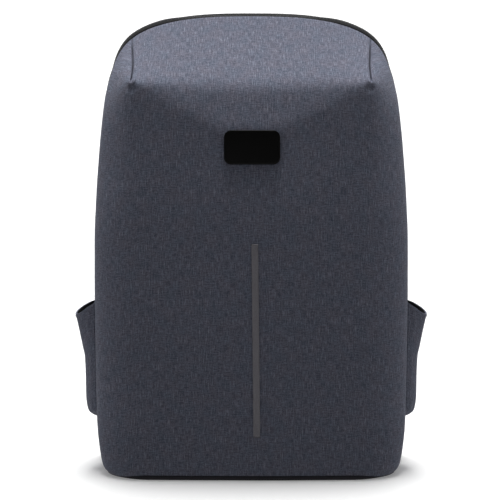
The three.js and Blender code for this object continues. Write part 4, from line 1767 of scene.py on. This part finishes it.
@dataclass
class BackPanel(Assembly):
    """A padded panel: a moulded board edged with piping and two mesh pads with an air channel."""

    form: BagForm
    thickness: float = 3.6
    recess: float = 5.0
    recess_edge: float = 14.0
    recess_margin: float = 20.0
    recess_foot: float = 56.0
    recess_top: float = 392.0
    piping: float = 4.2
    piping_tuck: float = 0.2
    piping_clear: float = 0.1
    pad_inner: float = 12.0
    pad_margin: float = 27.0
    pad_foot: float = 66.0
    pad_top: float = 384.0
    pad_bury: float = 6.0
    pad_height: float = 3.0
    pad_end_bow: float = 0.12
    pad_end_draw: float = 0.16
    puff: Puff = Puff(voxel=5.0, pressure=4.0, reach=5.0)
    channel_depth: float = 2.6
    channel_spread: float = 4.0
    channel_inset: float = 5.0
    channel_full: float = 4.0
    sewn_below: float = 1.0

    channels: ClassVar[tuple[float, ...]] = (144.0, 225.0, 306.0)

    def face(self, x: Any, z: Any) -> Any:
        """Gives the board's rear face, let in where the pads lie.

        Args:
            x: Places across the bag.
            z: Heights.

        Returns:
            How far it stands behind the gusset.
        """
        inside = np.minimum(z - self.recess_foot, self.recess_top - z)
        inside = np.minimum(inside, self.form.half_width(z) - self.recess_margin - np.abs(x))
        return self.form.back_face_at(x, z) - self.recess * smoothstep(0, self.recess_edge, inside)

    def board(self) -> bpy.types.Object:
        """Builds the moulded board, closed all round.

        Returns:
            The board.
        """
        columns = np.linspace(-2, 2, 81)
        rows = spaced([(20, 6), (400, 76)])
        x, z, _ = self.form.net(columns[None, ::-1], rows[:, None])
        rear = self.face(x, z)
        front = np.maximum(rear - self.thickness, SEAM_GAP)
        net = np.stack([np.stack([x, depth, z], axis=-1) for depth in (rear, front)])
        cloth = np.stack([net_cloth(side) for side in net])
        placed = self.form.place(net)
        board = make_object("back_board", placed, shut_faces(numbered(net)), cloth, closed=True)
        self.dress(board, BACK_CLOTH)
        return self.keep(board, "padded_cloth", "back_panel")

    def edge_piping(self) -> bpy.types.Object:
        """Runs a corded edge along the seam with the gusset.

        Returns:
            The piping.
        """
        loop = self.form.outline(Shell.columns()[::3], Shell.rows()[::3])
        depth = np.full(len(loop), self.piping / 2 - self.piping_tuck)
        height = np.maximum(loop[:, 1], self.piping / 2 + self.piping_clear)
        middles = self.form.place(np.stack([loop[:, 0], depth, height], axis=1))
        across, out = path_axes(middles, BACKWARD)
        cord = loft("back_piping", middles, across, out, self.piping, self.piping, squareness=1.0)
        self.dress(cord, WEBBING_WEAVE)
        return self.keep(cord, "padded_cloth")

    def pad(self, side: Side) -> bpy.types.Object:
        """Builds one mesh pad, swelled by simulation and then sewn down along its channels.

        Args:
            side: Which pad it is.

        Returns:
            The pad.
        """
        u, v = np.meshgrid(np.linspace(-1, 1, 25), np.linspace(-1, 1, 71), indexing="ij")
        middle, half = (self.pad_foot + self.pad_top) / 2, (self.pad_top - self.pad_foot) / 2
        # High powers keep the pad's outline and dome flat up to their rounded edges
        z = middle + half * v * np.sqrt(1 - self.pad_end_bow * u**8)
        outer = self.form.half_width(z) - self.pad_margin
        draw = 1 - self.pad_end_draw * np.abs(v) ** 10
        x = self.pad_inner + (outer * draw - self.pad_inner) * (u + 1) / 2
        board = self.face(x, z)
        dome = self.pad_height * np.sqrt(np.clip((1 - u**6) * (1 - v**16), 0, 1))
        depths = (board + dome, board - self.pad_bury)
        net = side.turn(np.stack([np.stack([x, depth, z], axis=-1) for depth in depths]))
        faces = shut_faces(numbered(net))
        pad = make_object(f"back_pad_{side.word}", self.form.place(net), faces, closed=True)

        def held(places: Points) -> Points:
            """The buried underside of the pad."""
            flat = places / MM - (0, self.form.rear, 0)
            return flat[:, 1] < self.face(flat[:, 0], flat[:, 2]) - self.sewn_below

        self.puff.swell(pad, held)
        places = vertex_places(pad) / MM
        height = places[:, 1] - self.form.rear - self.face(places[:, 0], places[:, 2])
        for channel in self.channels:
            pressed = self.channel_depth * bump(places[:, 2] - channel, self.channel_spread)
            places[:, 1] -= pressed * smoothstep(0, self.channel_full, height)
        pad.data.vertices.foreach_set("co", (places * MM).ravel())
        self.dress(pad, MESH_CLOTH)
        soften(pad)
        return self.keep(pad, "padded_cloth", "back_panel")

    def channel_stitches(self, pads: Sequence[bpy.types.Object]) -> bpy.types.Object:
        """Lays stitches along the pads' sewn channels.

        Args:
            pads: The finished pads.

        Returns:
            The stitches.
        """
        inset = self.channel_inset * MM
        graph = bpy.context.evaluated_depsgraph_get()
        paths = []
        for pad in pads:
            tree = BVHTree.FromObject(pad, graph)
            low, high = (f(vertex_places(pad)[:, 0]) for f in (np.min, np.max))
            for channel in self.channels:
                path = []
                for x in np.linspace(low + inset, high - inset, 60):
                    hit = tree.ray_cast(Vector((x, FAR_OFF, channel * MM)), Vector(-BACKWARD))[0]
                    if hit is not None:
                        path.append(hit)
                paths.append(np.array(path))
        return self.keep(LOCK_STITCH.lay("back_pad_stitches", paths, THREAD), "padded_cloth")

    def build(self) -> None:
        """Builds the board, its piping and its pads."""
        self.board()
        self.edge_piping()
        self.channel_stitches([self.pad(side) for side in Side])


class StrapAt(NamedTuple):
    """A shoulder strap's middle line, gap to the back, width and thickness at a height."""

    height: float
    x: float
    standoff: float
    width: float
    thickness: float


@dataclass
class ShoulderStrap(Assembly):
    """A curved foam strap, mesh inside and cloth outside, bound at its edges."""

    form: BagForm
    side: Side
    steps: int = 60
    binding: float = 5.0
    binding_inset: float = 1.2
    binding_share: float = 0.62
    swell_width: float = 3.0
    swell_thickness: float = 1.5
    sewn_top: float = 6.0
    sewn_foot: float = 5.0
    webbing_width: float = 25.0
    webbing_thickness: float = 1.5
    webbing_lift: float = 0.7
    webbing_from: float = 0.3
    stitch_inset: float = 2.5
    stitch_lift: float = 0.1
    top_stitched: float = 0.42
    mesh_facing: float = -0.2
    bar_rows: tuple[int, int] = (1, 6)
    top_rows: tuple[int, int] = (2, 4)
    puff: Puff = Puff(voxel=4.0, pressure=4.0, reach=2.0)

    table: ClassVar[tuple[StrapAt, ...]] = (
        StrapAt(410, 44, SEAM_GAP, 56, 5),
        StrapAt(398, 45, 9, 61, 8),
        StrapAt(368, 47, 27, 66, 10),
        StrapAt(320, 52, 41, 68, 11),
        StrapAt(265, 59, 45, 66, 11),
        StrapAt(215, 68, 40, 60, 10),
        StrapAt(182, 75, 33, 46, 8),
        StrapAt(168, 78, 29, 32, 6),
    )

    def section(self, share: Any) -> tuple[Points, Any, Any]:
        """Reads the strap's table.

        Args:
            share: Shares of the strap's height, from its top.

        Returns:
            Its middles, widths and thicknesses there.
        """
        first, last = self.table[0], self.table[-1]
        z = first.height + (last.height - first.height) * np.asarray(share, dtype=float)
        columns = StrapAt._fields[1:]
        x, standoff, width, thickness = (read_table(self.table, "height", name, z) for name in columns)
        middle = np.stack([x, self.form.back_face_at(x, z) + standoff + thickness / 2, z], axis=-1)
        return middle, width, thickness

    def build(self) -> None:
        """Builds the padded strap, its bound edges, and the webbing sewn along it."""
        share = np.linspace(0, 1, self.steps)
        middles, width, thickness = self.section(share)
        across, out = (self.side.turn(axis) for axis in path_axes(middles, BACKWARD))
        placed = self.form.place(self.side.turn(middles))
        slim = width - self.swell_width, thickness - self.swell_thickness
        pad = loft(f"strap_pad_{self.side.word}", placed, across, out, *slim, squareness=0.62)
        top = (self.table[0].height - self.sewn_top) * MM
        foot = (self.table[-1].height + self.sewn_foot) * MM

        def held(places: Points) -> Points:
            """The sewn ends of the strap."""
            return (places[:, 2] > top) | (places[:, 2] < foot)

        self.puff.swell(pad, held)
        self.dress(pad, STRAP_CLOTH, MESH_CLOTH)
        normals = np.empty(3 * len(pad.data.polygons))
        pad.data.polygons.foreach_get("normal", normals)
        inside = normals.reshape(-1, 3)[:, 1] < self.mesh_facing
        pad.data.polygons.foreach_set("material_index", inside.astype(np.int32))
        soften(pad)
        self.keep(pad, "padded_cloth", f"shoulder_strap_{self.side.word}")
        self.bind(placed, across, out, width, thickness)
        self.sew_webbing(pad, placed, across, out, share)

    def bind(self, placed: Points, across: Points, out: Points, width: Any, thickness: Any) -> None:
        """Folds tape over both edges and round the lower end.

        Args:
            placed: The strap's middles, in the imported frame.
            across: Directions of its width.
            out: Directions of its thickness.
            width: Its widths.
            thickness: Its thicknesses.
        """
        half = (width / 2 - self.binding_inset)[1:, None] * MM
        across, out = across[1:], out[1:]
        edges = np.concatenate([placed[1:] + across * half, (placed[1:] - across * half)[::-1]])
        facing = np.concatenate([out, out[::-1]])
        sideways, outwards = path_axes(edges, facing)
        deep = np.concatenate([thickness[1:], thickness[:0:-1]]) * self.binding_share
        name = f"strap_binding_{self.side.word}"
        tape = loft(name, edges, sideways, outwards, self.binding, deep, squareness=0.8)
        self.dress(tape, WEBBING_WEAVE)
        self.keep(tape, "padded_cloth")

    def sew_webbing(
        self, pad: bpy.types.Object, placed: Points, across: Points, out: Points, share: Points
    ) -> None:
        """Lays webbing on the strap's outer face, and stitches it and the strap's top end.

        Args:
            pad: The padded strap.
            placed: Its middles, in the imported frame.
            across: Directions of its width.
            out: Directions of its thickness.
            share: The middles' shares of its height.
        """
        tree = BVHTree.FromObject(pad, bpy.context.evaluated_depsgraph_get())

        def on_face(middles: Points, outwards: Points, lift: float) -> Points:
            """Finds places above the pad's outer face, level past its end.

            Args:
                middles: Places inside the pad.
                outwards: Directions out of it.
                lift: How far above its face they lie.

            Returns:
                The places.
            """
            height, path = 0.0, []
            for middle, outward in zip(middles, outwards):
                hit = tree.ray_cast(Vector(middle + outward * FAR_OFF), Vector(-outward))[0]
                if hit is not None:
                    height = float(np.dot(np.array(hit) - middle, outward))
                path.append(middle + outward * (height + lift * MM))
            return np.array(path)

        run = share >= self.webbing_from
        middle = on_face(placed[run], out[run], self.webbing_lift)
        sideways, outwards = path_axes(middle, out[run])
        name = f"strap_face_webbing_{self.side.word}"
        size = self.webbing_width, self.webbing_thickness
        webbing = loft(name, middle, sideways, outwards, *size, squareness=0.25)
        self.dress(webbing, WEBBING_WEAVE)
        self.keep(webbing, "padded_cloth")
        edge = (self.webbing_width / 2 - self.stitch_inset) * MM
        face = middle + outwards * self.webbing_thickness / 2 * MM
        paths = [face + sideways * sign * edge for sign in (-1, 1)]
        spread = np.linspace(-1, 1, 24)[:, None]
        for row in self.bar_rows:
            paths.append(face[row] + sideways[row] * spread * edge)
        half = self.table[0].width * self.top_stitched * MM
        for row in self.top_rows:
            line = placed[row] + across[row] * spread * half
            paths.append(on_face(line, np.broadcast_to(out[row], line.shape), self.stitch_lift))
        self.keep(LOCK_STITCH.lay(f"strap_stitches_{self.side.word}", paths, GREY_THREAD), "padded_cloth")


@dataclass
class Adjuster(Assembly):
    """A ladder-lock buckle below a strap, with webbing that doubles back through it."""

    form: BagForm
    side: Side
    width: float = 36.0
    length: float = 29.0
    thickness: float = 5.0
    bar: float = 5.0
    slot: float = 7.0
    below_strap: float = 1.0
    webbing_width: float = 25.0
    webbing_thickness: float = 1.8
    tail: float = 48.0
    tail_curl: float = 1.6
    curl_from: float = 0.4
    edge_round: float = 1.3
    anchor_x: float = 113.0
    anchor_height: float = 38.0

    @property
    def turn_radius(self) -> float:
        """The webbing's outer radius as it turns round the lower bar."""
        return self.thickness / 2 + SEAM_GAP + self.webbing_thickness

    def frame(self) -> tuple[Points, float, tuple[Points, Points, Points]]:
        """Places the buckle between its strap and the webbing's anchor.

        Returns:
            Its middle, its distance from the anchor, and its axes.
        """
        middle = ShoulderStrap(self.form, self.side).section(1.0)[0]
        spread = self.anchor_x + np.array([-0.5, 0, 0.5]) * self.webbing_width
        under = self.form.back_face_at(spread, np.full(3, self.anchor_height)).max()
        anchor = np.array([self.anchor_x, under + SEAM_GAP + self.turn_radius, self.anchor_height])
        up = unit(middle - anchor)
        across = unit(np.cross(up, BACKWARD))
        centre = middle - up * (self.length / 2 + self.below_strap)
        return centre, float(np.linalg.norm(centre - anchor)), (across, up, np.cross(across, up))

    def buckle(self, centre: Points, axes: Sequence[Points]) -> None:
        """Builds a frame with two slots, its edges rounded.

        Args:
            centre: The buckle's middle.
            axes: Directions across, up and out of it.
        """
        half, inner = self.width / 2, self.width / 2 - self.bar
        end, slot, bar = self.length / 2, self.bar / 2 + self.slot, self.bar / 2
        cuts = (
            (-half, -inner, inner, half),
            (-end, -slot, -bar, bar, slot, end),
            (-self.thickness / 2, self.thickness / 2),
        )
        spots = np.stack(np.meshgrid(*cuts, indexing="ij"), axis=-1)
        index = numbered(spots)
        filled = [(i, j) for i in range(3) for j in range(5) if not (i == 1 and j in (1, 3))]
        faces = []
        for i, j in filled:
            square = [(i, j), (i + 1, j), (i + 1, j + 1), (i, j + 1)]
            beside = [(i, j - 1), (i + 1, j), (i, j + 1), (i - 1, j)]
            faces += [[index[a, b, k] for a, b in square] for k in (0, 1)]
            for near, far, neighbour in zip(square, square[1:] + square[:1], beside):
                if neighbour not in filled:
                    faces.append([index[near][0], index[far][0], index[far][1], index[near][1]])
        placed = self.form.place(self.side.turn(centre + spots @ np.stack(axes)))
        buckle = make_object(f"ladder_lock_{self.side.word}", placed, faces, closed=True)
        bevel = buckle.modifiers.new("edges", "BEVEL")
        bevel.width = self.edge_round * MM
        bevel.segments = 4
        bevel.angle_limit = math.radians(40)
        self.dress(buckle, BLACK_ACETAL)
        self.keep(buckle, "matt_plastic", f"strap_buckle_{self.side.word}")

    def webbing(self, centre: Points, reach: float, axes: Sequence[Points]) -> None:
        """Runs webbing from its anchor up behind the lower bar, round it and down as a tail.

        Args:
            centre: The buckle's middle.
            reach: How far below it the anchor is.
            axes: Directions across, up and out of the buckle.
        """
        radius = self.turn_radius - self.webbing_thickness / 2
        turn_height = -self.bar / 2 - self.turn_radius - SEAM_GAP
        rise = np.linspace(-reach, turn_height, 40)
        angle = np.linspace(0, math.pi, 14)[1:-1]
        fall = turn_height - np.linspace(0, self.tail, 24)
        up = np.concatenate([rise, turn_height + radius * np.sin(angle), fall])
        curl = self.tail_curl * smoothstep(self.curl_from, 1, np.linspace(0, 1, len(fall)))
        off = np.concatenate([np.full_like(rise, -radius), -radius * np.cos(angle), radius + curl])
        flat = centre + up[:, None] * axes[1] + off[:, None] * axes[2]
        middles = self.form.place(self.side.turn(flat))
        along = unit(np.gradient(middles, axis=0))
        across = np.broadcast_to(self.side.turn(axes[0]), middles.shape)
        name = f"adjuster_webbing_{self.side.word}"
        out = unit(np.cross(along, across))
        size = self.webbing_width, self.webbing_thickness
        web = loft(name, middles, across, out, *size, squareness=0.25)
        self.dress(web, WEBBING_WEAVE)
        self.keep(web, "black_cloth", f"strap_webbing_{self.side.word}")

    def build(self) -> None:
        """Builds the buckle and its webbing."""
        centre, reach, axes = self.frame()
        self.buckle(centre, axes)
        self.webbing(centre, reach, axes)


@dataclass
class GrabHandle(Assembly):
    """A webbing loop on the back, rolled into a grip at its middle and sewn flat at its feet."""

    form: BagForm
    half_span: float = 42.0
    foot: float = 11.0
    height: float = 427.0
    band: float = 22.0
    thickness: float = 3.0
    bow: float = 26.0
    grip: float = 5.0
    grip_width: float = 16.0
    grip_start: float = 0.75
    grip_full: float = 0.95
    stitch_inner: float = 1.5
    stitch_outer: float = 2.0

    def build(self) -> None:
        """Builds the loop and the stitches of its feet."""
        reach = self.half_span + self.foot
        x = spaced([(-self.half_span, 8), (self.half_span, 64), (reach, 8)], -reach)
        loose = np.clip(1 - np.abs(x / self.half_span) ** 3, 0, None)
        under = self.form.back_face_at(x, np.full_like(x, self.height - self.band / 2))
        y = under + SEAM_GAP + self.thickness / 2 + self.bow * np.sqrt(loose)
        middles = self.form.place(np.stack([x, y, np.full_like(x, self.height)], axis=1))
        across, out = path_axes(middles, BACKWARD)
        rolled = smoothstep(self.grip_start, self.grip_full, loose)
        width = self.band - (self.band - self.grip_width) * rolled
        thick = self.thickness + self.grip * rolled
        handle = loft("carry_handle", middles, across, out, width, thick, squareness=0.5)
        self.dress(handle, WEBBING_WEAVE)
        self.keep(handle, "padded_cloth", "grab_handle")
        inner, outer = self.half_span + self.stitch_inner, reach - self.stitch_outer
        z = self.height + np.linspace(-0.5, 0.5, 12) * (self.band - 2 * self.stitch_outer)
        paths = []
        for side in Side:
            for foot in np.linspace(inner, outer, 3):
                spot = np.full_like(z, foot)
                under = self.form.back_face_at(spot, np.full_like(z, self.height - self.band / 2))
                line = np.stack([spot, under + SEAM_GAP + self.thickness, z], axis=1)
                paths.append(self.form.place(side.turn(line)))
        self.keep(LOCK_STITCH.lay("handle_stitches", paths, GREY_THREAD), "padded_cloth")


# Stage


@dataclass
class Studio:
    """A pale floor, a soft light overhead and the camera."""

    form: BagForm
    camera_distance: float = 2600.0
    camera_elevation: float = 8.0
    aim: tuple[float, float, float] = (-1.2, -60.0, 219.8)
    focal_pixels: float = 2629.8
    frame_pixels: float = 500.0
    sensor: float = 36.0
    floor_size: float = 80.0
    floor_glow: float = 0.15
    key_lean: float = 8.0
    key_inner: float = 8.0
    key_outer: float = 22.0
    key_squeeze: float = 1.8
    key_strength: float = 24.5
    fill: float = 0.105
    side_fill: float = 0.355
    back_fill: float = 0.45
    back_from: float = 0.2

    def camera(self) -> None:
        """Sets the camera at the photograph's viewing angle."""
        data = bpy.data.cameras.new("camera")
        data.sensor_width = self.sensor
        data.lens = self.focal_pixels * self.sensor / self.frame_pixels
        data.clip_end = 200.0
        eye = linked("camera", data)
        aim = Vector(self.form.place(np.array([self.aim]))[0])
        lift = math.radians(self.camera_elevation)
        back = Vector((0.0, -math.cos(lift), math.sin(lift)))
        eye.location = aim + back * self.camera_distance * MM
        eye.rotation_euler = (-back).to_track_quat("-Z", "Y").to_euler()
        bpy.context.scene.camera = eye

    def floor(self) -> None:
        """Lays the floor, which throws no light on the bag."""
        half = self.floor_size / 2
        corners = np.array([[-half, -half, 0], [half, -half, 0], [half, half, 0], [-half, half, 0]])
        floor = make_object("floor", corners, [[0, 1, 2, 3]])
        paint, tree, shader = Finish("pale floor", "#f2f2f2", 0.9).begin()
        feed(tree, shader, {"Emission Color": linear("#ffffff"), "Emission Strength": self.floor_glow})
        floor.data.materials.append(paint)
        floor.visible_diffuse = False

    def light(self) -> None:
        """Lights the bag from a soft box overhead and a little behind, narrow from side to side.

        A fill comes from all round, more of it from the sides and from behind.
        """
        world = bpy.data.worlds.new("studio")
        world.use_nodes = True
        tree = world.node_tree
        tree.nodes.clear()
        direction = add_node(tree, "ShaderNodeTexCoord").outputs["Generated"]
        lean = math.radians(self.key_lean)
        narrow = {0: direction, 1: (self.key_squeeze, 1.0, 1.0)}
        squeezed = add_node(tree, "ShaderNodeVectorMath", narrow, operation="MULTIPLY").outputs["Vector"]
        evened = add_node(tree, "ShaderNodeVectorMath", {0: squeezed}, operation="NORMALIZE")
        towards = {0: evened.outputs["Vector"], 1: (0.0, math.sin(lean), math.cos(lean))}
        facing = add_node(tree, "ShaderNodeVectorMath", towards, operation="DOT_PRODUCT").outputs["Value"]
        box = {
            "Value": facing,
            "From Min": math.cos(math.radians(self.key_outer)),
            "From Max": math.cos(math.radians(self.key_inner)),
            "To Min": 0.0,
            "To Max": self.key_strength,
        }
        key = add_node(tree, "ShaderNodeMapRange", box, interpolation_type="SMOOTHSTEP").outputs["Result"]
        parts = add_node(tree, "ShaderNodeSeparateXYZ", {"Vector": direction})
        across, behind = parts.outputs["X"], parts.outputs["Y"]
        squared = add_node(tree, "ShaderNodeMath", {0: across, 1: across}, operation="MULTIPLY").outputs[0]
        spread = {"Value": squared, "To Min": self.fill, "To Max": self.fill + self.side_fill}
        fill = add_node(tree, "ShaderNodeMapRange", spread).outputs["Result"]
        rear = {"Value": behind, "From Min": self.back_from, "To Min": 0.0, "To Max": self.back_fill}
        back = add_node(tree, "ShaderNodeMapRange", rear, interpolation_type="SMOOTHSTEP").outputs["Result"]
        around = add_node(tree, "ShaderNodeMath", {0: fill, 1: back}, operation="ADD").outputs[0]
        both = add_node(tree, "ShaderNodeMath", {0: key, 1: around}, operation="ADD").outputs[0]
        glow = {"Color": linear("#ffffff"), "Strength": both}
        shader = add_node(tree, "ShaderNodeBackground", glow).outputs["Background"]
        add_node(tree, "ShaderNodeOutputWorld", {"Surface": shader})
        bpy.context.scene.world = world
        bpy.context.scene.view_settings.view_transform = "Standard"

    def build(self) -> None:
        """Sets up the whole stage."""
        self.camera()
        self.floor()
        self.light()


def main() -> None:
    """Builds the bag's pieces in order."""
    logging.basicConfig(level=logging.INFO, format="%(name)s: %(message)s")
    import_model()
    form = BagForm.from_frame()
    Studio(form).build()
    Shell(form).build()
    Gusset(form).build()
    ZipSlider().build()
    Base(form).build()
    FrontPlate().build()
    ReflectiveStrip(form).build()
    BackPanel(form).build()
    GrabHandle(form).build()
    for side in Side:
        SidePocket(form, side).build()
        ShoulderStrap(form, side).build()
        Adjuster(form, side).build()


if __name__ == "__main__":
    main()
